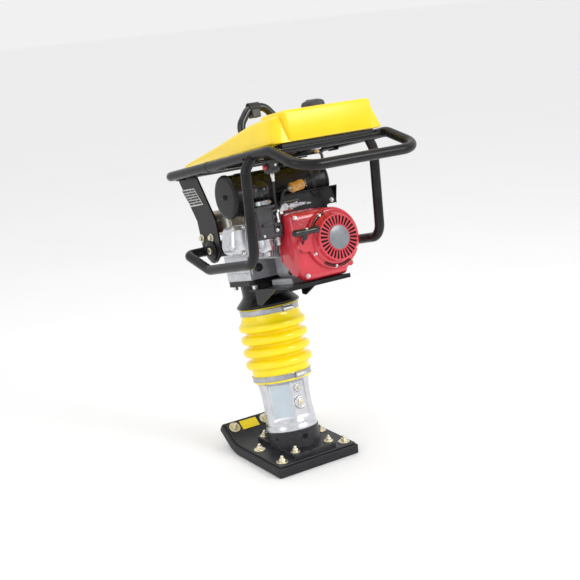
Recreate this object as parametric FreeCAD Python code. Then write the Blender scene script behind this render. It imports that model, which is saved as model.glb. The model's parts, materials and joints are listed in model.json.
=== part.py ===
import FreeCAD, Part
import math
import os

# Jumping jack rammer.  Millimetres, +X to the machine's right, +Y forward to the toe, +Z up.
# The origin is on the flat sole, where the leaning leg's axis meets the ground.
# Everything above the shoe is drawn upright in leg coordinates (X, F, U): X is the machine's
# right, F is forward square to the leg, U runs up the leg.  lean() then tips it forward.

V = FreeCAD.Vector
os.makedirs("parts", exist_ok=True)

# ---- driving dimensions -------------------------------------------------------------------
LEAN = 12.0                 # forward lean of the leg, degrees
SHOE_WIDTH = 285.0
SHOE_REAR = -125.0          # rear edge of the sole
SHOE_FLAT_FRONT = 108.0     # where the flat sole starts to turn up
TOE_RADIUS = 115.0          # radius of the toe's bend, on its underside
TOE_ANGLE = 36.0            # slope of the toe's straight end, degrees
TOE_STRAIGHT = 57.0
SOLE_THICK = 30.0
PLATE_THICK = 6.0
PLATE_INSET = 7.0           # the steel plate is this much narrower than the sole on each side
SHOE_BOLT_X = 112.0
SHOE_BOLT_Y = (-92.0, 34.0)
TOE_BOLT_ALONG = 28.0       # from the start of the toe's straight end

FLANGE_WIDTH = 156.0
FLANGE_LENGTH = 214.0
FLANGE_THICK = 15.0
STUD_X = 60.0
STUD_Y = 86.0
ADAPTER_R = 80.5
ADAPTER_TOP = 88.0          # along the leg

LEG_SEAT_TOP = 266.0        # shoulder that the bellows is clamped on
LEG_TUBE_TOP = 400.0
LEG_TUBE_R = 59.0
LEG_BORE_R = 52.0
LEG_SEAT_R = 83.0
SLIDE_GAP = 0.05            # radial clearance of running fits

BELLOWS_LOW = 240.0
BELLOWS_HIGH = 468.0
BELLOWS_WALL = 5.0
RING_LEVELS = (297.0, 335.0, 373.0, 411.0)
RING_R = 103.0
RING_SECTION_R = 15.0
VALLEY_R = 86.0
NECK_R = 88.0
CLAMP_HEIGHT = 16.0
CLAMP_LEVELS = (254.0, 456.0)

CRANK_U = 612.0             # crank gear's centre
THROW = 14.0                # eccentricity of the crank pin
MODULE = 2.0
GEAR_TEETH = 65
PINION_TEETH = 13
ENGINE_U = 640.0            # engine shaft's height
GEAR_F = (-38.0, -16.0)
WRIST_U = 500.0
PISTON_U = (228.0, 242.0)
SPRING_WIRE_R = 5.5
SPRING_R = 42.0

CASE_X = 80.0
CASE_F = (-70.0, 72.0)
CASE_U = (556.0, 694.0)
CASE_WALL = 8.0
MOUNT_U = 664.0             # rubber mounts that carry the handle frame
PLATE_X = 147.0             # inner face of the side plates
SIDE_THICK = 6.0

TUBE_R = 14.0
TUBE_BORE_R = 11.5
RAIL_X = 190.0
RAIL_U = 902.0
RAIL_FRONT = 140.0
RAIL_WELD = -150.0
DIP_F = -487.0
HANDLE_F = -623.0
HANDLE_U = 843.0
GUARD_X = 212.0
GUARD_LOW_U = 617.0

TANK_LOW = 917.0
TANK_WALL = 4.0
CAP_F = -440.0
HOOP_F = -150.0

# The engine's shaft sits beside and above the crank gear, one centre distance away.
CENTRE_DISTANCE = MODULE * (GEAR_TEETH + PINION_TEETH) / 2.0
ENGINE_RISE = ENGINE_U - CRANK_U
ENGINE_X = math.sqrt(CENTRE_DISTANCE ** 2 - ENGINE_RISE ** 2)
PLATE_TOP = SOLE_THICK + PLATE_THICK
ROPE_EYE = V(-36, -327, 655)              # where the starter rope enters its grip
PULL = V(0, -0.64, 0.768).normalize()     # direction of the pull
ROPE_TAIL = 92.0


# ---- helpers ------------------------------------------------------------------------------
def box(x0, x1, y0, y1, z0, z1):
    """Box between two corners, given in any order along each axis."""
    low = V(min(x0, x1), min(y0, y1), min(z0, z1))
    return Part.makeBox(abs(x1 - x0), abs(y1 - y0), abs(z1 - z0), low)


def rod(radius, start, end):
    """Cylinder between two points."""
    a = V(*start)
    b = V(*end)
    return Part.makeCylinder(radius, (b - a).Length, a, b - a)


def ring(outer, inner, start, end):
    """Tube with straight bore between two points."""
    return rod(outer, start, end).cut(rod(inner, start, end))


def along_f(radius, x, u, f0, f1):
    """Cylinder on an axis along F."""
    return rod(radius, (x, f0, u), (x, f1, u))


def hollow_f(outer, inner, x, u, f0, f1):
    """Tube on an axis along F."""
    return along_f(outer, x, u, f0, f1).cut(along_f(inner, x, u, f0, f1))


def prism(points, direction):
    """Closed polygon pushed along a vector."""
    corners = [V(*p) for p in points]
    face = Part.Face(Part.makePolygon(corners + [corners[0]]))
    return face.extrude(V(*direction))


def side_outline(points, x0, x1):
    """Outline in the F-U plane pushed from x0 to x1."""
    return prism([(x0, f, u) for f, u in points], (x1 - x0, 0, 0))


def turned(points, base=(0, 0, 0), direction=(0, 0, 1)):
    """Solid of revolution: points are (radius, height) along direction from base."""
    corners = [V(r, 0, h) for r, h in points]
    face = Part.Face(Part.makePolygon(corners + [corners[0]]))
    solid = face.revolve(V(0, 0, 0), V(0, 0, 1), 360)
    solid.Placement = FreeCAD.Placement(V(*base), FreeCAD.Rotation(V(0, 0, 1), V(*direction)))
    return solid


def bent_path(points, radii):
    """Straight runs joined by tangent arcs of the given radii at the inner points."""
    pts = [V(*p) for p in points]
    edges = []
    last = pts[0]
    for i in range(1, len(pts) - 1):
        into = (pts[i] - pts[i - 1]).normalize()
        out = (pts[i + 1] - pts[i]).normalize()
        turn = math.acos(max(-1.0, min(1.0, into.dot(out))))
        setback = radii[i - 1] * math.tan(turn / 2.0)
        start = pts[i] - into * setback
        end = pts[i] + out * setback
        inward = (out - into).normalize()
        bulge = radii[i - 1] * (1.0 / math.cos(turn / 2.0) - 1.0)
        middle = pts[i] + inward * bulge
        if (start - last).Length > 0.01:
            edges.append(Part.LineSegment(last, start).toShape())
        edges.append(Part.Arc(start, middle, end).toShape())
        last = end
    edges.append(Part.LineSegment(last, pts[-1]).toShape())
    return Part.Wire(edges)


def swept(points, radii, radius):
    """Round bar of one radius along a bent path."""
    path = bent_path(points, radii)
    start = V(*points[0])
    section = Part.Wire([Part.Circle(start, V(*points[1]) - start, radius).toShape()])
    return path.makePipeShell([section], True, False)


def pipe(points, radii, outer=TUBE_R, inner=TUBE_BORE_R):
    """Hollow tube along a bent path."""
    return swept(points, radii, outer).cut(swept(points, radii, inner))


def cord_radii(points):
    """Arc at each corner of a hose: 0.45 of the shorter run over the tangent of half the turn."""
    pts = [V(*p) for p in points]
    radii = []
    for i in range(1, len(pts) - 1):
        into = pts[i] - pts[i - 1]
        out = pts[i + 1] - pts[i]
        half = into.getAngle(out) / 2.0
        radii.append(0.45 * min(into.Length, out.Length) / math.tan(half))
    print("arc radii of a hose or cable", [round(r, 1) for r in radii])
    return radii


def rounded(shape, radius, pick):
    """Fillet the edges that pick() accepts."""
    edges = [e for e in shape.Edges if pick(e)]
    return shape.makeFillet(radius, edges)


def parallel_to(axis):
    """Edge test: straight and parallel to an axis."""
    def test(edge):
        if edge.Curve.TypeId != "Part::GeomLine":
            return False
        return abs(abs(edge.Curve.Direction.dot(axis)) - 1.0) < 1e-6
    return test


def group(shapes):
    """Several separate solids in one node."""
    solids = []
    for shape in shapes:
        solids += shape.Solids
    return Part.makeCompound(solids)


def lean(shape):
    """Tip a shape from leg coordinates into the machine's frame."""
    moved = shape.copy()
    moved.rotate(V(0, 0, 0), V(1, 0, 0), -LEAN)
    return moved


def mirrored(shape):
    """The same shape on the other side of the machine."""
    return shape.mirror(V(0, 0, 0), V(1, 0, 0))


def save(name, shape):
    """Write one node."""
    for solid in shape.Solids:
        if not solid.isValid() or solid.Volume <= 0:
            print("CHECK", name, solid.isValid(), solid.Volume)
    shape.exportStep("parts/" + name + ".step")


def save_upper(name, shape):
    """Write one node that was drawn in leg coordinates."""
    save(name, lean(shape))


def gear(teeth, x, u, f0, f1):
    """Spur gear with straight-sided teeth; the first tooth points along +X."""
    pitch_r = MODULE * teeth / 2.0
    tip_r = pitch_r + MODULE
    root_r = pitch_r - 1.25 * MODULE
    pitch_angle = 2 * math.pi / teeth
    profile = ((-0.34, root_r), (-0.12, tip_r), (0.12, tip_r), (0.34, root_r))
    points = []
    for tooth in range(teeth):
        for share, radius in profile:
            angle = (tooth + share) * pitch_angle
            points.append((x + radius * math.cos(angle), f0, u + radius * math.sin(angle)))
    return prism(points, (0, f1 - f0, 0))


def spun(shape, x, u, degrees):
    """Turn a shape about an axis along F."""
    moved = shape.copy()
    moved.rotate(V(x, 0, u), V(0, -1, 0), degrees)
    return moved


def spring(low, high, turns):
    """Round-wire compression spring on the leg's axis."""
    pitch = (high - low - 2 * SPRING_WIRE_R) / turns
    helix = Part.makeHelix(pitch, pitch * turns, SPRING_R)
    section = Part.Wire([Part.Circle(V(SPRING_R, 0, 0), V(0, 1, 0), SPRING_WIRE_R).toShape()])
    coil = Part.Wire(helix.Edges).makePipeShell([section], True, True)
    coil.translate(V(0, 0, low + SPRING_WIRE_R))
    return coil


def dome_bolt(centre, normal, washer_r, nut_r, shank_r, depth):
    """Washer, hexagon nut with a domed cap, and a shank that goes down depth below."""
    profile = [(0, -depth), (shank_r, -depth), (shank_r, 0), (washer_r, 0), (washer_r, 2.5),
               (nut_r, 2.5), (nut_r, 2.5 + nut_r * 0.8), (nut_r * 0.6, 2.5 + nut_r * 1.5),
               (nut_r * 0.3, 2.5 + nut_r * 1.8), (0, 2.5 + nut_r * 1.8)]
    return turned(profile, centre, normal)


def hex_head(centre, normal, across, height, shank_r, depth):
    """Hexagon head standing on a face, with a shank that goes down depth below it."""
    corners = []
    for i in range(6):
        angle = math.radians(60 * i)
        reach = across / 2.0 / math.cos(math.radians(30))
        corners.append((reach * math.cos(angle), reach * math.sin(angle), 0))
    head = prism(corners, (0, 0, height))
    if depth > 0:
        head = head.fuse(rod(shank_r, (0, 0, -depth), (0, 0, 0)))
    head.Placement = FreeCAD.Placement(V(*centre), FreeCAD.Rotation(V(0, 0, 1), V(*normal)))
    return head


# ---- shoe ---------------------------------------------------------------------------------
def toe_point(along, height):
    """Point on the toe's straight end, height above the underside."""
    angle = math.radians(TOE_ANGLE)
    y = SHOE_FLAT_FRONT + TOE_RADIUS * math.sin(angle) + along * math.cos(angle)
    z = TOE_RADIUS * (1 - math.cos(angle)) + along * math.sin(angle)
    return (y - height * math.sin(angle), z + height * math.cos(angle))


def shoe_layer(low, high, width, rear, end):
    """Layer of the shoe between two heights, flat and then turned up at the toe."""
    centre = V(0, SHOE_FLAT_FRONT, TOE_RADIUS)
    half = math.radians(TOE_ANGLE / 2.0)

    def side(height):
        radius = TOE_RADIUS - height
        middle = centre + V(0, radius * math.sin(half), -radius * math.cos(half))
        y0, z0 = toe_point(0, height)
        y1, z1 = toe_point(end, height)
        back = V(0, rear, height)
        bend = V(0, SHOE_FLAT_FRONT, height)
        return back, bend, middle, V(0, y0, z0), V(0, y1, z1)

    a, b, m, c, d = side(low)
    a2, b2, m2, c2, d2 = side(high)
    edges = [Part.LineSegment(a, b), Part.Arc(b, m, c), Part.LineSegment(c, d),
             Part.LineSegment(d, d2), Part.LineSegment(d2, c2), Part.Arc(c2, m2, b2),
             Part.LineSegment(b2, a2), Part.LineSegment(a2, a)]
    face = Part.Face(Part.Wire([e.toShape() for e in edges]))
    solid = face.extrude(V(width, 0, 0))
    solid.translate(V(-width / 2.0, 0, 0))
    return solid


def shoe_bolt_places():
    """Centre and normal of each shoe bolt on the steel plate's top."""
    places = []
    for side in (-1, 1):
        for y in SHOE_BOLT_Y:
            places.append(((side * SHOE_BOLT_X, y, PLATE_TOP), (0, 0, 1)))
    y, z = toe_point(TOE_BOLT_ALONG, PLATE_TOP)
    angle = math.radians(TOE_ANGLE)
    for x in (-SHOE_BOLT_X, 0, SHOE_BOLT_X):
        places.append(((x, y, z), (0, -math.sin(angle), math.cos(angle))))
    return places


def make_shoe():
    sole = shoe_layer(0, SOLE_THICK, SHOE_WIDTH, SHOE_REAR, TOE_STRAIGHT)
    plate = shoe_layer(SOLE_THICK, PLATE_TOP, SHOE_WIDTH - 2 * PLATE_INSET,
                       SHOE_REAR + PLATE_INSET, TOE_STRAIGHT - PLATE_INSET)
    bolts = []
    for centre, normal in shoe_bolt_places():
        down = V(*centre) - V(*normal) * (PLATE_TOP - 8)
        hole = rod(6.2, tuple(down), tuple(V(*centre) + V(*normal)))
        sole = sole.cut(hole)
        plate = plate.cut(hole)
        bolts.append(dome_bolt(centre, normal, 18, 9, 6, PLATE_TOP - 9))
    for x, y in [(sx * STUD_X, sy * STUD_Y) for sx in (-1, 1) for sy in (-1, 1)]:
        hole = rod(6.2, (x, y, 8), (x, y, PLATE_TOP + 1))
        sole = sole.cut(hole)
        plate = plate.cut(hole)
    save("shoe_sole", sole)
    save("shoe_plate", plate)
    return bolts


def make_adapter():
    flange = box(-FLANGE_WIDTH / 2, FLANGE_WIDTH / 2, -FLANGE_LENGTH / 2, FLANGE_LENGTH / 2,
                 PLATE_TOP, PLATE_TOP + FLANGE_THICK)
    flange = rounded(flange, 14, parallel_to(V(0, 0, 1)))
    barrel = lean(rod(ADAPTER_R, (0, 0, 0), (0, 0, ADAPTER_TOP)))
    above = box(-200, 200, -200, 200, PLATE_TOP, 300)
    body = flange.fuse(barrel.common(above))
    studs = []
    for x, y in [(sx * STUD_X, sy * STUD_Y) for sx in (-1, 1) for sy in (-1, 1)]:
        top = PLATE_TOP + FLANGE_THICK
        body = body.cut(rod(6.2, (x, y, PLATE_TOP - 1), (x, y, top + 1)))
        body = body.cut(rod(17, (x, y, top), (x, y, top + 60)))
        studs.append(dome_bolt((x, y, top), (0, 0, 1), 15, 8.5, 6, top - 9))
    body = body.cut(lean(rod(5, (-90, -30, 68), (-70, -25, 68))))
    save("foot_adapter", body)
    return studs


# ---- leg ----------------------------------------------------------------------------------
def make_leg():
    outer = turned([(0, ADAPTER_TOP), (76, ADAPTER_TOP), (76, 100), (70, 120), (69, 180),
                    (74, 225), (LEG_SEAT_R, 238), (LEG_SEAT_R, LEG_SEAT_TOP),
                    (LEG_TUBE_R, LEG_SEAT_TOP + 4), (LEG_TUBE_R, LEG_TUBE_TOP), (0, LEG_TUBE_TOP)])
    pad = box(-78, -60, -32, 32, 118, 212)
    rib = rod(17, (-20, -64, 168), (-29, -77, 168))
    leg = outer.fuse([pad.common(rod(76, (0, 0, 100), (0, 0, 240))), rib])
    leg = leg.cut(rod(LEG_BORE_R, (0, 0, 100), (0, 0, LEG_TUBE_TOP + 1)))
    leg = leg.cut(rod(6, (-15, -57, 168), (-33, -82.5, 168)))
    stop = ring(LEG_BORE_R, 16 + SLIDE_GAP, (0, 0, 385), (0, 0, LEG_TUBE_TOP))
    save_upper("leg_cylinder", group([leg, stop]))
    plug = hex_head((-29, -77, 168), (-9, -13, 0), 15, 5, 5.9, 22)
    upper = hex_head((-27, -71.5, 214), (-9, -23, 0), 12, 5, 4, 8)
    upper = upper.cut(leg)
    grub = rod(4.9, (-89, -29.8, 68), (-72, -25.5, 68))
    save_upper("leg_plugs", group([plug, upper, grub.common(rod(ADAPTER_R + 3, (0, 0, 0), (0, 0, 90)))]))
    lower = spring(100.5, PISTON_U[0] - 0.5, 5)
    save_upper("leg_springs", group([lower, spring(PISTON_U[1] + 0.5, 384.5, 6)]))


def bellows_form(grow):
    """Outer form of the bellows, made larger or smaller by grow."""
    form = rod(VALLEY_R + grow, (0, 0, BELLOWS_LOW), (0, 0, BELLOWS_HIGH))
    necks = [rod(NECK_R + grow, (0, 0, BELLOWS_LOW), (0, 0, 284)),
             rod(NECK_R + grow, (0, 0, 424), (0, 0, BELLOWS_HIGH))]
    rings = []
    for level in RING_LEVELS:
        rings.append(Part.makeTorus(RING_R - RING_SECTION_R, RING_SECTION_R + grow, V(0, 0, level)))
    return form.fuse(necks + rings)


def make_bellows():
    save_upper("bellows", bellows_form(0).cut(bellows_form(-BELLOWS_WALL)))
    for name, level in zip(("clamp_lower", "clamp_upper"), CLAMP_LEVELS):
        low = level - CLAMP_HEIGHT / 2
        band = ring(NECK_R + 2.6, NECK_R + 0.3, (0, 0, low), (0, 0, low + CLAMP_HEIGHT))
        angle = math.radians(-86)
        cx, cf = 94 * math.cos(angle), 94 * math.sin(angle)
        dx, df = -math.sin(angle), math.cos(angle)
        housing = rod(5, (cx - 14 * dx, cf - 14 * df, level), (cx + 14 * dx, cf + 14 * df, level))
        inside = rod(NECK_R + 0.3, (0, 0, low - 1), (0, 0, low + CLAMP_HEIGHT + 1))
        save_upper(name, band.fuse(housing.cut(inside)))


# ---- guide, crankcase and crank drive --------------------------------------------------------
def make_guide():
    guide = ring(68, LEG_TUBE_R + SLIDE_GAP, (0, 0, 335), (0, 0, 540))
    save_upper("guide_cylinder", guide)
    skirt = turned([(68, 440), (77, 440), (82.7, 446), (82.7, 469), (95, 470), (96, 476),
                    (76, 498), (72, 506), (72, 540), (68, 540)])
    save_upper("skirt_cone", skirt.cut(rod(68, (0, 0, 430), (0, 0, 541))))


def make_crankcase():
    flange = box(-CASE_X - 3, CASE_X + 3, CASE_F[0] - 2, CASE_F[1] + 3, 540, CASE_U[0])
    flange = rounded(flange, 16, parallel_to(V(0, 0, 1)))
    flange = flange.cut(rod(LEG_TUBE_R + SLIDE_GAP, (0, 0, 530), (0, 0, 560)))
    save_upper("crankcase_flange", flange)
    case = box(-CASE_X, CASE_X, CASE_F[0], CASE_F[1], CASE_U[0], CASE_U[1])
    case = rounded(case, 20, parallel_to(V(0, 1, 0)))
    square_foot = box(-CASE_X, CASE_X, CASE_F[0], CASE_F[1], CASE_U[0], CASE_U[0] + 30)
    boss = along_f(30, ENGINE_X, ENGINE_U, CASE_F[0], -8)
    lugs = [rod(26, (side * 70, 0, MOUNT_U), (side * 104, 0, MOUNT_U)) for side in (-1, 1)]
    case = case.fuse([square_foot, boss] + lugs)
    hollow = box(-CASE_X + CASE_WALL, CASE_X - CASE_WALL, CASE_F[0] + CASE_WALL,
                 CASE_F[1] - CASE_WALL, CASE_U[0] - 1, CASE_U[1] - CASE_WALL)
    case = case.cut(hollow.fuse(along_f(22, ENGINE_X, ENGINE_U, CASE_F[0] + CASE_WALL, -12)))
    case = case.cut(along_f(50, 0, 620, 60, CASE_F[1] + 1))
    case = case.cut(along_f(17, ENGINE_X, ENGINE_U, CASE_F[0] - 1, -58))
    seat = hollow_f(35, 28, 0, CRANK_U, CASE_F[0] + CASE_WALL, -44)
    case = case.fuse(seat)
    save_upper("crankcase", case)
    cover = along_f(62, 0, 620, CASE_F[1], CASE_F[1] + 9).fuse(along_f(49.9, 0, 620, 66, CASE_F[1]))
    bolts = []
    for i in range(6):
        angle = math.radians(60 * i + 30)
        x, u = 55.5 * math.cos(angle), 620 + 55.5 * math.sin(angle)
        cover = cover.cut(along_f(3, x, u, CASE_F[1] - 1, CASE_F[1] + 10))
        bolts.append(hex_head((x, CASE_F[1] + 9, u), (0, 1, 0), 11, 5, 2.9, 8.9))
    for x, f in [(sx * 66, sf) for sx in (-1, 1) for sf in (-58, 60)]:
        bolts.append(hex_head((x, f, 540), (0, 0, -1), 15, 10, 4, 0))
    save_upper("crankcase_cover", cover)
    save_upper("case_bolts", group(bolts))
    crank_bearing = hollow_f(28, 15 + SLIDE_GAP, 0, CRANK_U, -60, -44)
    drum_bearing = hollow_f(17, 9 + SLIDE_GAP, ENGINE_X, ENGINE_U, CASE_F[0], -58)
    save_upper("bearings", group([crank_bearing, drum_bearing]))
    housing = hollow_f(46, 37, ENGINE_X, ENGINE_U, -100, CASE_F[0])
    save_upper("clutch_housing", housing)
    breather = turned([(0, 0), (13, 0), (13, 8), (7, 10), (7, 18), (0, 18)],
                      (-50, CASE_F[0], 590), (0, -1, 0))
    drain = hex_head((-6, -180, 562), (-1, 0, 0), 14, 8, 5, 0)
    save_upper("oil_plugs", group([breather, drain]))


def make_crank_drive():
    wheel = gear(GEAR_TEETH, 0, CRANK_U, GEAR_F[0], GEAR_F[1])
    mesh_angle = math.degrees(math.atan2(ENGINE_RISE, ENGINE_X))
    wheel = spun(wheel, 0, CRANK_U, mesh_angle)
    wheel = wheel.fuse([along_f(15, 0, CRANK_U, -60, GEAR_F[0]),
                        along_f(11, THROW, CRANK_U, GEAR_F[1], 13)])
    save_upper("crank_gear", wheel)
    eye = along_f(20, THROW, CRANK_U, -11, 11).fuse(along_f(31, THROW, WRIST_U, -11, 11))
    shank = box(THROW - 9, THROW + 9, -8, 8, WRIST_U + 20, CRANK_U - 15)
    conrod = eye.fuse(shank).cut(along_f(11 + SLIDE_GAP, THROW, CRANK_U, -12, 12))
    save_upper("connecting_rod", conrod.cut(along_f(24, THROW, WRIST_U, -12, 12)))
    half_tooth = 180.0 / PINION_TEETH
    pinion = gear(PINION_TEETH, ENGINE_X, ENGINE_U, GEAR_F[0], GEAR_F[1])
    pinion = spun(pinion, ENGINE_X, ENGINE_U, mesh_angle + 180 + half_tooth)
    drum = hollow_f(34, 31, ENGINE_X, ENGINE_U, -97, -72)
    disc = along_f(34, ENGINE_X, ENGINE_U, -76, -72)
    shaft = along_f(9, ENGINE_X, ENGINE_U, -74, GEAR_F[0])
    save_upper("clutch_drum", drum.fuse([disc, shaft, pinion]))
    cheeks = [box(-18, 18, side * 12, side * 24, 445, 516) for side in (-1, 1)]
    piston_rod = rod(16, (0, 0, PISTON_U[1]), (0, 0, 440)).fuse([rod(30, (0, 0, 432), (0, 0, 452))] + cheeks)
    piston_rod = piston_rod.fuse(rod(10, (0, 0, PISTON_U[0] - 14), (0, 0, PISTON_U[1])))
    piston_rod = piston_rod.cut(along_f(8, 0, WRIST_U, -25, 25))
    wrist_pin = along_f(8, 0, WRIST_U, -24, 24)
    disc = ring(LEG_BORE_R - SLIDE_GAP, 10, (0, 0, PISTON_U[0]), (0, 0, PISTON_U[1]))
    nut = ring(17, 10, (0, 0, PISTON_U[0] - 12), (0, 0, PISTON_U[0]))
    save_upper("spring_piston", group([piston_rod, wrist_pin, disc, nut]))


# ---- engine -------------------------------------------------------------------------------
def make_bracket():
    plate = box(-100, 112, -300, -78, 526, 531)
    web = box(-82, 82, -85, -80, 502, 531)
    gusset = [(-80, 526), (-80, 484), (-98, 480), (-200, 526)]
    ribs = [side_outline(gusset, x, x + 5) for x in (-82, 77)]
    back = prism([(-100, -300, 519), (-100, -300, 526), (112, -300, 526), (112, -300, 519)], (0, 4, 0))
    save_upper("engine_bracket", plate.fuse([web, back] + ribs))


def make_engine_block():
    block = box(-6, 150, -205, -100, 545, 712)
    block = rounded(block, 18, parallel_to(V(0, 1, 0)))
    foot = box(-30, 158, -212, -100, 531, 546)
    block = block.fuse(foot)
    block = block.cut(along_f(46, ENGINE_X, ENGINE_U, -190, -112))
    block = block.cut(along_f(9.5 + SLIDE_GAP, ENGINE_X, ENGINE_U, -213, -99))
    block = block.cut(along_f(12.1, 130, 575, -206, -190))
    save_upper("engine_block", block)


def tipped_to_cylinder(shape):
    """Turn a shape drawn along -X from the engine's shaft to the cylinder's slope."""
    moved = shape.copy()
    moved.rotate(V(ENGINE_X, 0, ENGINE_U), V(0, 1, 0), 11)
    return moved


def make_cylinder():
    start = ENGINE_X
    clear = box(-6, 200, -206, -90, 500, 740)
    barrel = rod(38, (start - 70, -147, ENGINE_U), (start - 150, -147, ENGINE_U))
    fins = []
    for i in range(8):
        x = start - 92 - 9 * i
        fins.append(box(x, x - 4, -197, -100, ENGINE_U - 50, ENGINE_U + 50))
    head = box(start - 164, start - 214, -195, -99, ENGINE_U - 46, ENGINE_U + 46)
    body = tipped_to_cylinder(barrel.fuse(fins + [head]))
    save_upper("cylinder_head", body.cut(clear))
    corners = []
    for f, u in ((-32, -44), (32, -44), (43, -30), (43, 30), (32, 44), (-32, 44), (-43, 30), (-43, -30)):
        corners.append((start - 214, -147 + f, ENGINE_U + u))
    cover = prism(corners, (-42, 0, 0))
    cover = cover.makeChamfer(10, [e for e in cover.Edges if e.BoundBox.XMax < start - 250])
    save_upper("rocker_cover", tipped_to_cylinder(cover))


def fan_outline(inset):
    """Closed face of the fan cover's rear outline: round on the right, square on the left."""
    left, top, low = -50 + inset, 731 - inset, 531 + inset
    radius = 91 - inset
    cx, cu = ENGINE_X - 4, 640
    right = V(cx + radius, 0, cu - 20)
    start = V(cx, 0, top)
    knee = V(cx + radius * math.cos(math.radians(40)), 0, cu + radius * math.sin(math.radians(40)))
    foot = V(cx + 40, 0, low)
    belly = V(cx + radius * math.cos(math.radians(-42)), 0, cu - 20 - radius * math.sin(math.radians(42)))
    corner = V(left, 0, low)
    edges = [Part.LineSegment(V(left, 0, top), start), Part.Arc(start, knee, right),
             Part.Arc(right, belly, foot), Part.LineSegment(foot, corner),
             Part.LineSegment(corner, V(left, 0, top))]
    return Part.Face(Part.Wire([e.toShape() for e in edges]))


def rope_line(radius):
    """Rod along the starter rope's straight tail, out past the cover."""
    return rod(radius, tuple(ROPE_EYE - PULL * ROPE_TAIL), tuple(ROPE_EYE + PULL * 30))


def make_fan_cover():
    outer = fan_outline(0).extrude(V(0, 88, 0))
    inner = fan_outline(3).extrude(V(0, 86, 0))
    outer.translate(V(0, -300, 0))
    inner.translate(V(0, -297, 0))
    cover = outer.cut(inner)
    cover = cover.cut(side_outline([(-205, 606), (-205, 500), (-284, 500), (-284, 531)], -60, 40))
    cover = cover.cut(along_f(62, ENGINE_X, ENGINE_U, -301, -290))
    cover = cover.cut(rope_line(6))
    save_upper("fan_cover", cover)


def make_recoil_starter():
    shell = turned([(86, 300), (86, 314), (80, 320), (64, 322), (61, 332), (54, 337), (0, 337),
                    (0, 334), (53, 334), (58, 330), (61, 319), (79, 316), (83, 312), (83, 300)],
                   (ENGINE_X, 0, ENGINE_U), (0, -1, 0))
    lobe = along_f(24, -28, 640, -318, -300)
    bridge = box(-28, 20, -318, -300, 618, 662)
    shell = shell.fuse(lobe.fuse(bridge).cut(along_f(84, ENGINE_X, ENGINE_U, -330, -290)))
    shell = shell.cut(rope_line(6))
    pin = along_f(8, ENGINE_X, ENGINE_U, -335, -276)
    badge = turned([(0, 337), (34, 337), (33, 339), (0, 340)],
                   (ENGINE_X, 0, ENGINE_U), (0, -1, 0))
    save_upper("recoil_cover", group([shell.fuse(pin), badge]))
    pulley = turned([(8 + SLIDE_GAP, 282), (56, 282), (58, 284), (50, 287), (50, 291), (58, 294),
                     (56, 296), (8 + SLIDE_GAP, 296)], (ENGINE_X, 0, ENGINE_U), (0, -1, 0))
    save_upper("starter_pulley", pulley)
    stem = rod(7, tuple(ROPE_EYE), tuple(ROPE_EYE + PULL * 22))
    middle = ROPE_EYE + PULL * 26
    bar = rod(8.5, tuple(middle + V(-43, 0, 0)), tuple(middle + V(43, 0, 0)))
    save_upper("starter_grip", stem.fuse(bar))
    save_upper("starter_rope", rod(2.5, tuple(ROPE_EYE), tuple(ROPE_EYE - PULL * ROPE_TAIL)))


def make_rotor():
    shaft = along_f(9.5, ENGINE_X, ENGINE_U, -262, -80)
    hub = along_f(30.5, ENGINE_X, ENGINE_U, -96, -80)
    web = along_f(40, ENGINE_X, ENGINE_U, -165, -130)
    wheel = hollow_f(78, 9.5, ENGINE_X, ENGINE_U, -234, -218)
    blades = []
    for i in range(16):
        blade = box(ENGINE_X + 45, ENGINE_X + 76, -248, -233, ENGINE_U - 1.5, ENGINE_U + 1.5)
        blades.append(spun(blade, ENGINE_X, ENGINE_U, 22.5 * i))
    save_upper("engine_rotor", group([shaft.fuse([hub, web]), wheel.fuse(blades)]))


def make_intake():
    carb = rounded(box(-128, -56, -256, -212, 672, 764), 6, parallel_to(V(0, 1, 0)))
    port = box(-128, -56, -212, -198, 690, 740)
    bowl = rod(20, (-106, -236, 672), (-106, -236, 636)).fuse(rod(11, (-106, -236, 636), (-106, -236, 628)))
    cup = rod(9, (-66, -238, 672), (-66, -238, 648))
    save_upper("carburettor", group([carb.fuse(port), bowl, cup]))
    can = rod(60, (-148, HOOP_F, 808), (152, HOOP_F, 808))
    elbow_path = [(-90, -200, 812), (-90, -240, 812), (-90, -240, 764)]
    elbow = pipe(elbow_path, [27], 26, 22).cut(rod(60, (-148, HOOP_F, 808), (152, HOOP_F, 808)))
    save_upper("intake_elbow", elbow)
    bore = rod(57, (-145, HOOP_F, 808), (149, HOOP_F, 808))
    ends = []
    for side in (-1, 1):
        start = 148 if side < 0 else 152
        ends.append(turned([(0, 0), (63, 0), (64, 3), (62, 8), (54, 12), (0, 12)],
                           (side * start, HOOP_F, 808), (side, 0, 0)))
    element = ring(46, 26, (-132, HOOP_F, 808), (136, HOOP_F, 808))
    save_upper("air_canister", group([can.cut(bore), element] + ends))


def make_muffler():
    body = rounded(box(-120, 56, -62, 62, 704, 776), 16, parallel_to(V(1, 0, 0)))
    inlet = rod(15, (-60, -101, 735), (-60, -61, 742))
    head_cut = tipped_to_cylinder(box(ENGINE_X - 230, ENGINE_X - 80, -197, -99, 590, 690))
    save_upper("muffler", body.fuse(inlet.cut(head_cut)))
    shield = box(-12, 170, -216, -213, 732, 786)
    lip = box(-12, 170, -232, -213, 783, 786)
    gusset = side_outline([(-213, 732), (-232, 783), (-213, 786)], 167, 170)
    foot = box(-12, 140, -208, -205, 712, 735).fuse(box(-12, 140, -216, -205, 732, 735))
    save_upper("heat_shield", shield.fuse([lip, gusset, foot]))


# ---- handle frame ---------------------------------------------------------------------------
def front_loop_points():
    return [(-RAIL_X, RAIL_WELD, RAIL_U), (-RAIL_X, RAIL_FRONT, RAIL_U),
            (RAIL_X, RAIL_FRONT, RAIL_U), (RAIL_X, RAIL_WELD, RAIL_U)]


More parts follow.
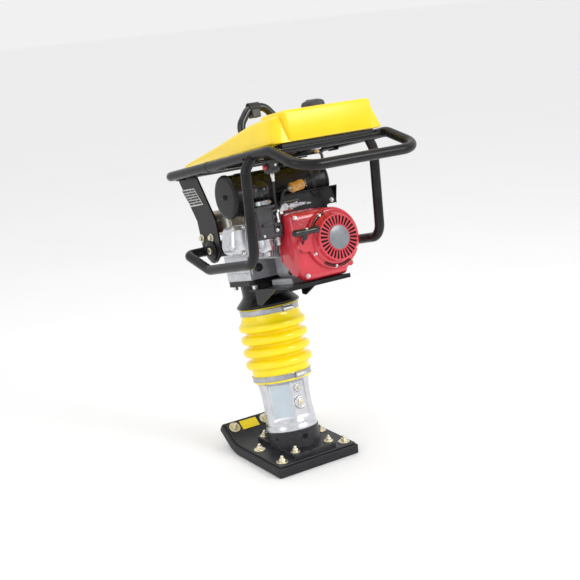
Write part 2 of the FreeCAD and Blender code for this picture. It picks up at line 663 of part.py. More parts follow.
def rear_loop_points():
    return [(-RAIL_X, RAIL_WELD, RAIL_U), (-RAIL_X, DIP_F, RAIL_U), (-RAIL_X, HANDLE_F, HANDLE_U),
            (RAIL_X, HANDLE_F, HANDLE_U), (RAIL_X, DIP_F, RAIL_U), (RAIL_X, RAIL_WELD, RAIL_U)]


def guard_points():
    return [(-RAIL_X, -396, RAIL_U), (-GUARD_X, -384, 866), (-GUARD_X, -340, GUARD_LOW_U),
            (-GUARD_X, -74, GUARD_LOW_U - 4), (-GUARD_X, 46, 664), (-PLATE_X - SIDE_THICK, 46, 664)]


def side_plate():
    """Left side plate: a strap that leans forward to the front bar, round at the rubber mount."""
    outline = [(-54, MOUNT_U), (-56, 748), (14, 893), (128, 893), (56, 756), (52, MOUNT_U)]
    strap = side_outline(outline, -PLATE_X - SIDE_THICK, -PLATE_X)
    heel = rod(38, (-PLATE_X - SIDE_THICK, 0, MOUNT_U), (-PLATE_X, 0, MOUNT_U))
    heel = heel.fuse(side_outline([(-54, MOUNT_U), (52, MOUNT_U), (30, 638), (-32, 638)],
                                  -PLATE_X - SIDE_THICK, -PLATE_X))
    plate = strap.fuse(heel)
    plate = plate.cut(swept(front_loop_points(), [60, 60], TUBE_R))
    return plate.cut(rod(6.2, (-PLATE_X - 10, 0, MOUNT_U), (-PLATE_X + 10, 0, MOUNT_U)))


def make_frame():
    front_points = front_loop_points()
    rear_points = rear_loop_points()
    front = pipe(front_points, [60, 60])
    rear = pipe(rear_points, [70, 62, 62, 70])
    save_upper("frame_front_loop", front)
    save_upper("frame_rear_loop", rear)
    rear_solid = swept(rear_points, [70, 62, 62, 70], TUBE_R)
    guard = pipe(guard_points(), [30, 46, 42, 20])
    for name, tube in (("guard_left", guard), ("guard_right", mirrored(guard))):
        coped = tube.cut(rear_solid)
        save_upper(name, max(coped.Solids, key=lambda solid: solid.Volume))
    plate = side_plate()
    save_upper("side_plates", group([plate, mirrored(plate)]))
    rails = swept([(-RAIL_X, 200, RAIL_U), (-RAIL_X, -450, RAIL_U)], [], TUBE_R)
    rails = rails.fuse(mirrored(rails))
    bars = []
    for f in (-470, -40):
        bar = rod(11, (-RAIL_X, f, RAIL_U - 1.5), (RAIL_X, f, RAIL_U - 1.5))
        bars.append(bar.cut(rails))
    foot = box(-RAIL_X, RAIL_X, HOOP_F - 15, HOOP_F + 15, 886, 892)
    bars.append(foot.cut(rails))
    save_upper("tank_bars", group([max(bar.Solids, key=lambda solid: solid.Volume) for bar in bars]))
    bolts = []
    rubbers = []
    for side in (-1, 1):
        outside = side * (PLATE_X + SIDE_THICK)
        bolts.append(hex_head((outside, 0, MOUNT_U), (side, 0, 0), 19, 9, 6, 24))
        for f, u in ((44, 704), (-14, 702)):
            bolts.append(hex_head((outside, f, u), (side, 0, 0), 17, 8, 5, 0))
        rubbers.append(ring(24, 6.2, (side * 104, 0, MOUNT_U), (side * PLATE_X, 0, MOUNT_U)))
    save_upper("plate_bolts", group(bolts))
    save_upper("rubber_mounts", group(rubbers))


# ---- tank and its fittings --------------------------------------------------------------------
def tank_section(f, half_low, half_top, top, inset):
    """Six-sided cross-section of the tank at one place along F."""
    low = TANK_LOW + inset
    crown = top - inset
    shoulder = low + 0.55 * (crown - low)
    wide = half_low - inset
    narrow = half_top - inset
    points = [(-wide, low), (-wide + 0.25 * (wide - narrow), shoulder), (-narrow, crown),
              (narrow, crown), (wide - 0.25 * (wide - narrow), shoulder), (wide, low)]
    corners = [V(x, f, u) for x, u in points]
    return Part.makePolygon(corners + [corners[0]])


def tank_form(inset):
    front = 144 - inset
    rear = -508 + inset
    wires = [tank_section(front, 128, 112, 928, inset if inset == 0 else 0.5),
             tank_section(-345, 164, 130, 988, inset), tank_section(-400, 170, 140, 995, inset),
             tank_section(rear, 171, 140, 993, inset)]
    return Part.makeLoft(wires, True, True)


def hoop_points():
    return [(-62, HOOP_F, 892), (-62, HOOP_F, 1004), (-26, HOOP_F, 1047), (26, HOOP_F, 1047),
            (62, HOOP_F, 1004), (62, HOOP_F, 892)]


def make_tank():
    tank = tank_form(0)
    hollow = tank_form(TANK_WALL)
    for x in (-62, 62):
        post = rod(18, (x, HOOP_F, 880), (x, HOOP_F, 1060))
        hollow = hollow.cut(post)
        tank = tank.cut(rod(13.5, (x, HOOP_F, 880), (x, HOOP_F, 1060)))
    tank = tank.cut(hollow)
    neck = ring(22, 19, (0, CAP_F, 985), (0, CAP_F, 1004))
    tank = tank.cut(rod(19, (0, CAP_F, 980), (0, CAP_F, 1010))).fuse(neck)
    tank = tank.cut(rod(19, (0, CAP_F, 980), (0, CAP_F, 1010)))
    tank = tank.cut(rod(6, (-2, -420, 900), (-2, -420, 925)))
    save_upper("fuel_tank", tank)
    cap = turned([(22.05, 995.5), (31, 995.5), (32, 1000), (31, 1012), (26, 1019), (0, 1021), (0, 1006),
                  (22.05, 1006)], (0, CAP_F, 0), (0, 0, 1))
    save_upper("fuel_cap", cap)
    hoop = pipe(hoop_points(), [40, 24, 24, 40], 12, 8)
    collar = ring(15.5, 12, (-14, HOOP_F, 1047), (2, HOOP_F, 1047))
    save_upper("lifting_hoop", group([hoop, collar]))


def make_fuel_line():
    tap = rod(6, (-2, -420, 882), (-2, -420, 918)).fuse(box(-12, 8, -432, -408, 888, 906))
    tap = tap.fuse(rod(4, (-2, -408, 894), (-2, -396, 894)))
    save_upper("fuel_tap", tap)
    lever = rod(7, (-2, -432.3, 897), (-2, -437, 897)).fuse(box(-5, 28, -437, -433, 893, 901))
    save_upper("fuel_tap_lever", lever)
    filter_body = rod(15, (2, -246, 800), (44, -246, 806))
    ends = [rod(4, (-8, -246, 798.5), (2, -246, 800)), rod(4, (44, -246, 806), (54, -246, 807.4))]
    save_upper("fuel_filter", filter_body.fuse(ends))
    upper = [(54, -246, 807.43), (76, -246, 810.57), (98, -262, 832), (88, -312, 866), (50, -352, 890),
             (10, -368, 895), (-2, -380, 894), (-2, -396, 894)]
    lower = [(-8, -246, 798.57), (-24, -246, 796.29), (-33, -243, 772), (-42, -240, 748), (-56.5, -240, 746)]
    save_upper("fuel_hose_upper", swept(upper, cord_radii(upper), 4))
    carb = box(-128, -56, -256, -212, 672, 764)
    save_upper("fuel_hose_lower", swept(lower, cord_radii(lower), 4).cut(carb))


def make_controls():
    block = rounded(box(-126, -100, -374, -334, 852, 884), 4, parallel_to(V(1, 0, 0)))
    block = block.cut(rod(7.3, (-127, -352, 866), (-121.5, -352, 866)))
    strap = box(-RAIL_X, -100, -366, -342, 884, 888)
    tube = rod(TUBE_R, (-RAIL_X, -450, RAIL_U), (-RAIL_X, -300, RAIL_U))
    save_upper("control_block", block.fuse(strap.cut(tube)))
    lever = rod(9, (-99.7, -354, 868), (-93, -354, 868))
    arm = box(-98, -93, -412, -354, 862, 870).fuse(rod(6, (-106, -414, 866), (-84, -414, 866)))
    save_upper("throttle_lever", lever.fuse(arm))
    save_upper("stop_button", rod(7, (-126.3, -352, 866), (-137, -352, 866)))
    cable = [(-112, -350, 852), (-112, -350, 830), (-109, -340, 806), (-100, -320, 784),
             (-86, -298, 766), (-74, -276, 754), (-72, -256, 754)]
    save_upper("throttle_cable", swept(cable, cord_radii(cable), 3))
    choke = rod(6, (-88, -256.3, 712), (-88, -262, 712)).fuse(box(-118, -88, -262, -259, 708, 716))
    save_upper("choke_lever", choke)
    dip = rod(12, (130, -205, 575), (130, -191, 575)).fuse(rod(14, (130, -211, 575), (130, -205, 575)))
    save_upper("oil_dipstick", dip)


save("shoe_bolts", group(make_shoe() + make_adapter()))
make_leg()
make_bellows()
make_guide()
make_crankcase()
make_crank_drive()
make_bracket()
make_engine_block()
make_cylinder()
make_fan_cover()
make_recoil_starter()
make_rotor()
make_intake()
make_muffler()
make_frame()
make_tank()
make_fuel_line()
make_controls()
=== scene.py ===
"""Looks of the jumping jack rammer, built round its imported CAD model."""

import json
import math

import bmesh
import bpy
from mathutils import Matrix, Vector


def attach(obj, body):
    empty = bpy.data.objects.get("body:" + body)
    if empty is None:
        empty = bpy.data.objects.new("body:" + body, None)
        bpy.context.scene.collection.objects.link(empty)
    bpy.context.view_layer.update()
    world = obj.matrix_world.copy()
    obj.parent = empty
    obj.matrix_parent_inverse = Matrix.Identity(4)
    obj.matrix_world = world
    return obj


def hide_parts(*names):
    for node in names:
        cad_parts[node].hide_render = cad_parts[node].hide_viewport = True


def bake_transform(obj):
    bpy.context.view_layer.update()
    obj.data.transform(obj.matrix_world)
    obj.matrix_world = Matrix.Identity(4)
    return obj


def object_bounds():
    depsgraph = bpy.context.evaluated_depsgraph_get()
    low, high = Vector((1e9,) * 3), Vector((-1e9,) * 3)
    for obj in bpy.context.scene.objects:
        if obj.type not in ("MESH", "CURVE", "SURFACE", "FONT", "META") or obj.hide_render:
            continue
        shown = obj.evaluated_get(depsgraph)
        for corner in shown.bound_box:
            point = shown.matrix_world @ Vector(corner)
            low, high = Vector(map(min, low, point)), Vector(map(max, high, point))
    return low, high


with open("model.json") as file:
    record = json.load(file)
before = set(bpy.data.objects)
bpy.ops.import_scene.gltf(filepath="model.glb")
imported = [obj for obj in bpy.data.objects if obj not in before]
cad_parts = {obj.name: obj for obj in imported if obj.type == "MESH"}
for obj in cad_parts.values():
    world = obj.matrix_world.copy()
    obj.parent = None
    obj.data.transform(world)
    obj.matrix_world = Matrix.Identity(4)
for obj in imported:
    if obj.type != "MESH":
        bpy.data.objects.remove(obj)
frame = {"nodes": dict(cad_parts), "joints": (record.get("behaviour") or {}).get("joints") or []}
CAD_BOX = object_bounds()

# ---- places taken from the frame ----------------------------------------------------------------
# The leg's stroke gives its lean.  Upper pieces are drawn upright in leg coordinates, in mm:
# X to the machine's right, F forward square to the leg, U up the leg.
STROKE = Vector(next(j for j in frame["joints"] if j["name"] == "leg_stroke")["axis"])
LEAN = math.atan2(STROKE.y, STROKE.z)
MM = 0.001
TINY = 0.02                 # smallest radius drawn, mm, where a turned shape reaches its axis
TO_LEG = Matrix.Rotation(-LEAN, 4, "X") @ Matrix.Scale(MM, 4)
TO_GROUND = Matrix.Scale(MM, 4)
RIGHT = (1, 0, 0)
LEFT = (-1, 0, 0)
FRONT = (0, 1, 0)
REAR = (0, -1, 0)
UP = (0, 0, 1)
DOWN = (0, 0, -1)


def extent(points):
    """Lowest and highest corner of some points."""
    low = Vector([min(p[i] for p in points) for i in range(3)])
    high = Vector([max(p[i] for p in points) for i in range(3)])
    return low, high


def corners_of(node, place=TO_LEG):
    """Lowest and highest corner of a CAD node in the drawing coordinates of place, mm."""
    back = place.inverted()
    return extent([back @ v.co for v in frame["nodes"][node].data.vertices])


def centre_of(node):
    """Middle of a CAD node's box in leg coordinates, mm."""
    low, high = corners_of(node)
    return (low + high) / 2


# ---- mesh helpers -------------------------------------------------------------------------------
def basis(direction):
    """Matrix that turns +Z to a direction."""
    return Vector(direction).to_track_quat("Z", "Y").to_matrix().to_4x4()


def add_skin(bm, rows, ring=False):
    """Quads between closed rows of vertices; the two ends are filled or, for a ring, joined."""
    count = len(rows[0])
    pairs = list(zip(rows, rows[1:]))
    if ring:
        pairs.append((rows[-1], rows[0]))
    for near, far in pairs:
        for i in range(count):
            j = (i + 1) % count
            bm.faces.new((near[i], near[j], far[j], far[i]))
    if not ring:
        bm.faces.new(list(reversed(rows[0])))
        bm.faces.new(rows[-1])


def add_lathe(bm, profile, base=(0, 0, 0), direction=UP, steps=48, reach=None, ring=False):
    """Solid of revolution from (radius, height) pairs, or a ring with a hole through it.

    reach(angle, radius, height) may reshape it.
    """
    turn = Matrix.Translation(Vector(base)) @ basis(direction)
    rows = []
    for radius, height in profile:
        row = []
        for i in range(steps):
            angle = 2 * math.pi * i / steps
            r = reach(angle, radius, height) if reach else radius
            row.append(bm.verts.new(turn @ Vector((r * math.cos(angle), r * math.sin(angle), height))))
        rows.append(row)
    add_skin(bm, rows, ring)


def add_rod(bm, radius, start, end, steps=24, chamfer=0.0):
    """Round bar between two points, its ends chamfered if asked."""
    along = Vector(end) - Vector(start)
    length = along.length
    profile = [(radius, 0), (radius, length)]
    if chamfer:
        profile = [(radius - chamfer, 0), (radius, chamfer)]
        profile += [(radius, length - chamfer), (radius - chamfer, length)]
    add_lathe(bm, profile, start, along, steps)


def add_box(bm, low, high):
    for v in bmesh.ops.create_cube(bm, size=1.0)["verts"]:
        v.co = Vector([low[i] + (v.co[i] + 0.5) * (high[i] - low[i]) for i in range(3)])


def add_prism(bm, outline, push):
    """Closed outline of points pushed along a vector."""
    near = [bm.verts.new(Vector(p)) for p in outline]
    far = [bm.verts.new(Vector(p) + Vector(push)) for p in outline]
    bm.faces.new(near)
    bm.faces.new(list(reversed(far)))
    for i in range(len(near)):
        j = (i + 1) % len(near)
        bm.faces.new((near[j], near[i], far[i], far[j]))


def rounded_route(points, radius, steps=8):
    """Straight runs with their corners turned into arcs."""
    pts = [Vector(p) for p in points]
    route = [pts[0]]
    for before, here, after in zip(pts, pts[1:], pts[2:]):
        into = (here - before).normalized()
        out = (after - here).normalized()
        half = into.angle(out) / 2
        longest = 0.48 * min((here - before).length, (after - here).length)
        setback = min(radius * math.tan(half), longest)
        r = setback / math.tan(half)
        bulge = (out - into).normalized()
        centre = here + bulge * (r / math.cos(half))
        first = here - into * setback - centre
        last = here + out * setback - centre
        for i in range(steps + 1):
            route.append(centre + first.lerp(last, i / steps).normalized() * r)
    route.append(pts[-1])
    return route


def nurbs_points(route):
    """Points read from the NURBS spline of a route, in drawing coordinates."""
    data = bpy.data.curves.new("route", "CURVE")
    data.dimensions = "3D"
    data.resolution_u = 8
    spline = data.splines.new("NURBS")
    spline.points.add(len(route) - 1)
    for point, place in zip(spline.points, route):
        point.co = (*place, 1.0)
    spline.order_u = 3
    spline.use_endpoint_u = True
    holder = bpy.data.objects.new("route", data)
    mesh = bpy.data.meshes.new_from_object(holder)
    found = [v.co.copy() for v in mesh.vertices]
    bpy.data.objects.remove(holder)
    bpy.data.meshes.remove(mesh)
    bpy.data.curves.remove(data)
    return found


def add_tube(bm, route, radius, steps=16, closed=False, squash=1.0):
    """Round bar along a list of points."""
    pts = [Vector(p) for p in route]
    rows = []
    across = None
    for i, here in enumerate(pts):
        before = pts[i - 1] if i or closed else here
        after = pts[(i + 1) % len(pts)] if i < len(pts) - 1 or closed else here
        along = (after - before).normalized()
        if across is None:
            across = along.orthogonal().normalized()
        across = (across - along * across.dot(along)).normalized()
        other = along.cross(across)
        row = []
        for k in range(steps):
            angle = 2 * math.pi * k / steps
            spoke = across * (radius * math.cos(angle)) + other * (radius * squash * math.sin(angle))
            row.append(bm.verts.new(here + spoke))
        rows.append(row)
    add_skin(bm, rows, closed)


def hexagon_radius(across):
    """Corner radius of a hexagon from its width across flats."""
    return across / 2 / math.cos(math.radians(30))


def add_hex_bolt(bm, centre, normal, across=16, height=8, washer=0.0):
    """Hexagon head with a chamfered top, on a washer if it has one."""
    n = Vector(normal).normalized()
    foot = Vector(centre)
    if washer:
        add_lathe(bm, [(washer - 0.5, 0), (washer, 0.5), (washer, 1.7), (washer - 0.7, 2.4)], foot, n, 32)
        foot = foot + n * 2.4
    r = hexagon_radius(across)
    add_lathe(bm, [(r, 0), (r, height - 1.6), (r * 0.86, height)], foot, n, 6)
    add_lathe(bm, [(r * 0.7, height - 0.6), (r * 0.7, height + 0.4), (r * 0.64, height + 0.7)], foot, n, 24)


def add_dome_nut(bm, foot, normal, washer, across):
    """Wide washer, hexagon nut and the rounded end of a bolt."""
    add_lathe(bm, [(washer - 0.6, 0), (washer, 0.6), (washer, 2.2), (washer - 0.9, 3.0)], foot, normal, 40)
    r = hexagon_radius(across)
    nut = across * 0.52
    add_lathe(bm, [(r * 0.86, 3.0), (r, 4.2), (r, 1.6 + nut), (r * 0.86, 3 + nut)], foot, normal, 6)
    shank = across * 0.30
    top = 3 + nut
    shoulder = top + across * 0.32
    dome = [(shank * 1.25, top), (shank * 1.25, top + 1.2), (shank, top + 1.6), (shank, shoulder)]
    for i in range(1, 6):
        angle = math.radians(18 * i)
        dome.append((max(shank * math.cos(angle), TINY), shoulder + shank * 0.8 * math.sin(angle)))
    add_lathe(bm, dome, foot, normal, 24)


def islands_of(node, place=TO_GROUND):
    """Lowest and highest corner of each separate solid of a CAD node, in mm."""
    bm = bmesh.new()
    bm.from_mesh(frame["nodes"][node].data)
    bmesh.ops.remove_doubles(bm, verts=bm.verts, dist=1e-6)
    back = place.inverted()
    seen = set()
    found = []
    for first in bm.verts:
        if first in seen:
            continue
        stack = [first]
        seen.add(first)
        points = []
        while stack:
            v = stack.pop()
            points.append(back @ v.co)
            for e in v.link_edges:
                w = e.other_vert(v)
                if w not in seen:
                    seen.add(w)
                    stack.append(w)
        found.append(extent(points))
    bm.free()
    return found


def dress(node, material):
    """Gives a CAD node that is shown as it is a better material."""
    mesh = frame["nodes"][node].data
    mesh.materials.clear()
    mesh.materials.append(material)


def piece(name, bm, material, body, place=TO_LEG, bevel=0.0, replaces=(), smooth=35,
          segments=3, ride=True):
    """Turns a drawing into a named object that rides on a body."""
    bmesh.ops.recalc_face_normals(bm, faces=bm.faces)
    mesh = bpy.data.meshes.new(name)
    bm.to_mesh(mesh)
    bm.free()
    mesh.transform(place)
    mesh.materials.append(material)
    mesh.shade_smooth()
    if not bevel:
        mesh.set_sharp_from_angle(angle=math.radians(smooth))
    obj = bpy.data.objects.new(name, mesh)
    bpy.context.scene.collection.objects.link(obj)
    if bevel:
        edge = obj.modifiers.new("edges", "BEVEL")
        edge.width = bevel * MM
        edge.segments = segments
        edge.limit_method = "ANGLE"
        edge.angle_limit = math.radians(smooth)
        edge.harden_normals = True
    if ride:
        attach(obj, body)
    if replaces:
        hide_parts(*replaces)
    return obj


# ---- materials ----------------------------------------------------------------------------------
def add_node(tree, kind, joined=(), **values):
    """Shader node with plain input values, and with (input, socket) pairs joined to it."""
    node = tree.nodes.new("ShaderNode" + kind)
    if kind == "Mix":
        node.data_type = "RGBA"
    for name, value in values.items():
        node.inputs[name.replace("_", " ")].default_value = value
    for name, socket in joined:
        tree.links.new(socket, node.inputs[name])
    return node


def mix_colours(tree, share, below, above):
    """Colour socket from below, a colour or a socket, to the colour above."""
    node = add_node(tree, "Mix", [("Factor", share)], B=(*above, 1))
    if isinstance(below, tuple):
        node.inputs["A"].default_value = (*below, 1)
    else:
        tree.links.new(below, node.inputs["A"])
    return node.outputs["Result"]


def edge_wear_and_highlight(tree, size, patches):
    """Share of the edge colour, high where an edge is sharp and a patch is strong: worn paint on the shoe's
    pieces, a painted highlight on black_paint and engine_enamel, and on the rest simply a lighter colour
    along sharp edges.
    """
    around = add_node(tree, "Bevel", Radius=size)
    around.samples = 6
    flat = add_node(tree, "NewGeometry")
    turn = add_node(tree, "VectorMath")
    turn.operation = "DOT_PRODUCT"
    tree.links.new(around.outputs["Normal"], turn.inputs[0])
    tree.links.new(flat.outputs["Normal"], turn.inputs[1])
    sharp_edge = add_node(tree, "MapRange", [("Value", turn.outputs["Value"])], From_Min=0.98, From_Max=0.80)
    edge_share = add_node(tree, "Math", [(0, sharp_edge.outputs["Result"]), (1, patches)])
    edge_share.operation = "MULTIPLY"
    return edge_share.outputs["Value"]


def surface(name, light, dark, metallic=0.0, rough=(0.3, 0.45), mottle=25.0, grain=500.0, depth=0.00005,
            coat=0.0, edge=None, edge_size=0.0012, stretch=(1, 1, 1), speck=None, transmission=0.0,
            shine=0.5):
    """Two-tone mottled colour, uneven roughness, fine bump and, if edge is given, an edge colour that is worn
    paint on some materials and a painted highlight on others.
    """
    mat = bpy.data.materials.new(name)
    mat.use_nodes = True
    tree = mat.node_tree
    where = add_node(tree, "TexCoord")
    scaled = add_node(tree, "Mapping", [("Vector", where.outputs["Object"])], Scale=stretch)
    place = [("Vector", scaled.outputs["Vector"])]
    patches = add_node(tree, "TexNoise", place, Scale=mottle, Detail=5)
    fine = add_node(tree, "TexNoise", place, Scale=grain, Detail=3)
    spread = add_node(tree, "MapRange", [("Value", patches.outputs["Fac"])], From_Min=0.35, From_Max=0.65)
    mottled = spread.outputs["Result"]
    colour = mix_colours(tree, mottled, dark, light)
    if speck:
        spots = add_node(tree, "MapRange", [("Value", fine.outputs["Fac"])], From_Min=0.62, From_Max=0.72)
        colour = mix_colours(tree, spots.outputs["Result"], colour, speck)
    if edge:
        # Edge colour: worn paint on some materials, a painted highlight along sharp edges on others.
        colour = mix_colours(tree, edge_wear_and_highlight(tree, edge_size, mottled), colour, edge)
    gloss = add_node(tree, "MapRange", [("Value", mottled)], To_Min=rough[0], To_Max=rough[1])
    bump = add_node(tree, "Bump", [("Height", fine.outputs["Fac"])], Strength=0.6, Distance=depth)
    shader = tree.nodes["Principled BSDF"]
    plain = {"Metallic": metallic, "Coat Weight": coat, "Coat Roughness": 0.08,
             "Transmission Weight": transmission, "Specular IOR Level": shine}
    for socket, value in plain.items():
        shader.inputs[socket].default_value = value
    tree.links.new(colour, shader.inputs["Base Color"])
    tree.links.new(gloss.outputs["Result"], shader.inputs["Roughness"])
    tree.links.new(bump.outputs["Normal"], shader.inputs["Normal"])
    return mat


# black_paint's edge colour is a painted highlight: a lighter tone along the tubes' sharp edges.
PAINT = surface("black_paint", (0.012, 0.012, 0.014), (0.007, 0.007, 0.008), 0.0, (0.24, 0.34), 30, 500,
                0.00010, coat=0.06, edge=(0.04, 0.04, 0.045), shine=0.22)
CAST = surface("black_casting", (0.026, 0.027, 0.032), (0.012, 0.012, 0.014), 0.2, (0.34, 0.46), 90, 420,
               0.0005, speck=(0.12, 0.12, 0.14), edge=(0.20, 0.20, 0.22), edge_size=0.0022, shine=0.4)
SOLE = surface("sole_laminate", (0.022, 0.023, 0.026), (0.010, 0.010, 0.012), 0.0, (0.42, 0.60), 45, 260,
               0.0004, edge=(0.09, 0.09, 0.10), edge_size=0.003, stretch=(1, 1, 5), shine=0.3)
PLATE = surface("shoe_plate_paint", (0.040, 0.040, 0.044), (0.020, 0.020, 0.023), 0.2, (0.34, 0.48), 35,
                320, 0.00035, edge=(0.24, 0.23, 0.22), edge_size=0.0025, shine=0.35)
ZINC = surface("yellow_zinc", (0.80, 0.76, 0.60), (0.68, 0.63, 0.47), 0.85, (0.24, 0.34), 90)
BOLT = surface("bright_zinc", (0.80, 0.80, 0.79), (0.68, 0.68, 0.67), 0.85, (0.24, 0.34), 90)
BRASS = surface("brass", (0.75, 0.55, 0.22), (0.55, 0.39, 0.16), 0.95, (0.24, 0.36), 90)
STEEL = surface("oiled_steel", (0.42, 0.42, 0.44), (0.28, 0.28, 0.30), 0.9, (0.25, 0.4), 60, 500, 0.00008)
ALLOY = surface("leg_alloy", (0.68, 0.69, 0.72), (0.58, 0.59, 0.62), 0.85, (0.26, 0.36), 40, 520, 0.00010)
DIECAST = surface("engine_alloy", (0.64, 0.65, 0.68), (0.52, 0.53, 0.56), 0.6, (0.32, 0.46), 60, 520,
                  0.0002, edge=(0.84, 0.84, 0.86))
BELLOWS = surface("bellows_rubber", (0.97, 0.76, 0.008), (0.94, 0.72, 0.006), 0.0, (0.16, 0.24), 22, 300,
                  0.0001, coat=0.3, shine=0.4)
TANK = surface("tank_plastic", (0.95, 0.69, 0.012), (0.92, 0.65, 0.010), 0.0, (0.26, 0.34), 14, 420,
               0.00008, coat=0.12, shine=0.35)
# engine_enamel's edge colour is a painted highlight: a lighter red along sharp edges.
RED = surface("engine_enamel", (0.64, 0.030, 0.052), (0.56, 0.022, 0.040), 0.0, (0.18, 0.26), 18, 350,
              0.00008, coat=0.6, edge=(0.80, 0.12, 0.15))
MOULD = surface("black_plastic", (0.022, 0.022, 0.025), (0.012, 0.012, 0.014), 0.0, (0.30, 0.44), 60, 600,
                0.00015, shine=0.35)
GREYMOULD = surface("grey_plastic", (0.050, 0.051, 0.057), (0.034, 0.034, 0.039), 0.0, (0.34, 0.46), 60,
                    600, 0.00015, edge=(0.12, 0.12, 0.13), shine=0.4)
RUBBER = surface("glossy_rubber", (0.014, 0.015, 0.018), (0.007, 0.007, 0.009), 0.0, (0.14, 0.24), 40,
                 500, 0.00006)
DULL = surface("dull_rubber", (0.030, 0.030, 0.034), (0.016, 0.016, 0.018), 0.0, (0.42, 0.58), 60, 420,
               0.0002, shine=0.35)
AMBER = surface("amber_plastic", (0.78, 0.42, 0.09), (0.60, 0.28, 0.05), 0.0, (0.14, 0.24), 60, 400,
                0.0001, coat=0.4, transmission=0.2)
BAND = surface("stainless_band", (0.48, 0.49, 0.52), (0.40, 0.41, 0.44), 0.9, (0.24, 0.34), 30, 420,
               0.00005)
HOT = surface("muffler_steel", (0.70, 0.68, 0.62), (0.50, 0.44, 0.36), 0.7, (0.34, 0.52), 30, 420, 0.0002)
RUST = surface("heat_stained_steel", (0.24, 0.12, 0.06), (0.12, 0.06, 0.035), 0.5, (0.45, 0.6), 40, 300,
               0.0004)
# Grey-blue sheet for the leg's panel flat: painted shade, darker and bluer than the alloy.
PANEL_SHADE = surface("painted_shade_panel", (0.52, 0.60, 0.66), (0.48, 0.56, 0.62), 0.0, (0.3, 0.38), 20)
LABEL = surface("label_film", (0.97, 0.76, 0.02), (0.94, 0.72, 0.015), 0.0, (0.25, 0.32), 20)
INK = surface("plate_print", (0.03, 0.03, 0.03), (0.02, 0.02, 0.02), 0.0, (0.35, 0.45), 40)
FRAMEPRINT = surface("plate_metal", (0.62, 0.62, 0.60), (0.48, 0.48, 0.46), 0.4, (0.3, 0.4), 60)
EMBLEM = surface("emblem_grey", (0.20, 0.22, 0.24), (0.17, 0.19, 0.21), 0.1, (0.24, 0.32), 30, coat=0.4)
STOP = surface("red_plastic", (0.60, 0.02, 0.02), (0.45, 0.01, 0.01), 0.0, (0.2, 0.3), 60, 500, 0.0001,
               coat=0.4)
DARK = surface("inner_shade", (0.006, 0.006, 0.007), (0.003, 0.003, 0.004), 0.0, (0.6, 0.8), 60, 500,
               0.0001, shine=0.2)


# ---- camera, floor and lights -------------------------------------------------------------------
CAMERA_PLACE = Vector((-1.789, -2.871, 1.415))
CAMERA_HEADING = math.radians(32.22)        # to the right of straight ahead
CAMERA_PITCH = math.radians(14.82)          # below the horizon
CAMERA_ROLL = math.radians(4.58)
LENS = 73.6


def make_camera():
    data = bpy.data.cameras.new("camera")
    data.lens = LENS
    data.sensor_width = 36.0
    ahead = Vector((math.sin(CAMERA_HEADING) * math.cos(CAMERA_PITCH),
                    math.cos(CAMERA_HEADING) * math.cos(CAMERA_PITCH), -math.sin(CAMERA_PITCH)))
    right = Vector((math.cos(CAMERA_HEADING), -math.sin(CAMERA_HEADING), 0))
    up = right.cross(ahead)
    side = right * math.cos(CAMERA_ROLL) - up * math.sin(CAMERA_ROLL)
    top = right * math.sin(CAMERA_ROLL) + up * math.cos(CAMERA_ROLL)
    turn = Matrix((side, top, -ahead)).transposed().to_4x4()
    cam = bpy.data.objects.new("camera", data)
    cam.matrix_world = Matrix.Translation(CAMERA_PLACE) @ turn
    bpy.context.scene.collection.objects.link(cam)
    bpy.context.scene.camera = cam


def make_light(name, place, target, size, power):
    data = bpy.data.lights.new(name, "AREA")
    data.shape = "RECTANGLE"
    data.size = size[0]
    data.size_y = size[1]
    data.energy = power
    light = bpy.data.objects.new(name, data)
    light.location = place
    light.rotation_euler = (Vector(target) - Vector(place)).to_track_quat("-Z", "Y").to_euler()
    bpy.context.scene.collection.objects.link(light)


def make_studio():
    bm = bmesh.new()
    bmesh.ops.create_grid(bm, x_segments=1, y_segments=1, size=30)
    mesh = bpy.data.meshes.new("floor")
    bm.to_mesh(mesh)
    bm.free()
    floor = bpy.data.objects.new("floor", mesh)
    pale = surface("floor_paper", (0.96, 0.96, 0.96), (0.95, 0.95, 0.95), 0.0, (0.7, 0.8), 2, 40, 0.00001)
    mesh.materials.append(pale)
    bpy.context.scene.collection.objects.link(floor)
    world = bpy.data.worlds.new("studio")
    world.use_nodes = True
    sky = world.node_tree.nodes["Background"]
    sky.inputs["Color"].default_value = (1.0, 1.0, 1.0, 1)
    sky.inputs["Strength"].default_value = 0.88
    bpy.context.scene.world = world
    middle = (CAD_BOX[0] + CAD_BOX[1]) / 2
    make_light("key", (1.6, -3.2, 2.6), middle, (1.6, 1.6), 62)
    make_light("fill", (-3.0, -0.6, 1.6), middle, (1.4, 2.0), 14)
    make_light("top", (-0.4, 0.4, 3.2), middle, (1.6, 1.6), 14)
    bpy.context.scene.view_settings.view_transform = "Standard"


make_camera()
make_studio()


# ---- shoe ---------------------------------------------------------------------------------------
SOLE_BOX = corners_of("shoe_sole", TO_GROUND)
PLATE_BOX = corners_of("shoe_plate", TO_GROUND)
SOLE_THICK = 30.0
PLATE_THICK = 6.0
FLAT_FRONT = 108.0          # where the sole starts to turn up
TOE_RADIUS = 115.0
TOE_ANGLE = math.radians(36)
TOE_STRAIGHT = 57.0
WIDE_WASHER = 33.0          # a CAD bolt wider than this sits on the plate, not on the adapter


def toe_point(along, height):
    """(Y, Z) on the toe's straight end, height above the underside."""
    y = FLAT_FRONT + TOE_RADIUS * math.sin(TOE_ANGLE) + along * math.cos(TOE_ANGLE)
    z = TOE_RADIUS * (1 - math.cos(TOE_ANGLE)) + along * math.sin(TOE_ANGLE)
    return y - height * math.sin(TOE_ANGLE), z + height * math.cos(TOE_ANGLE)


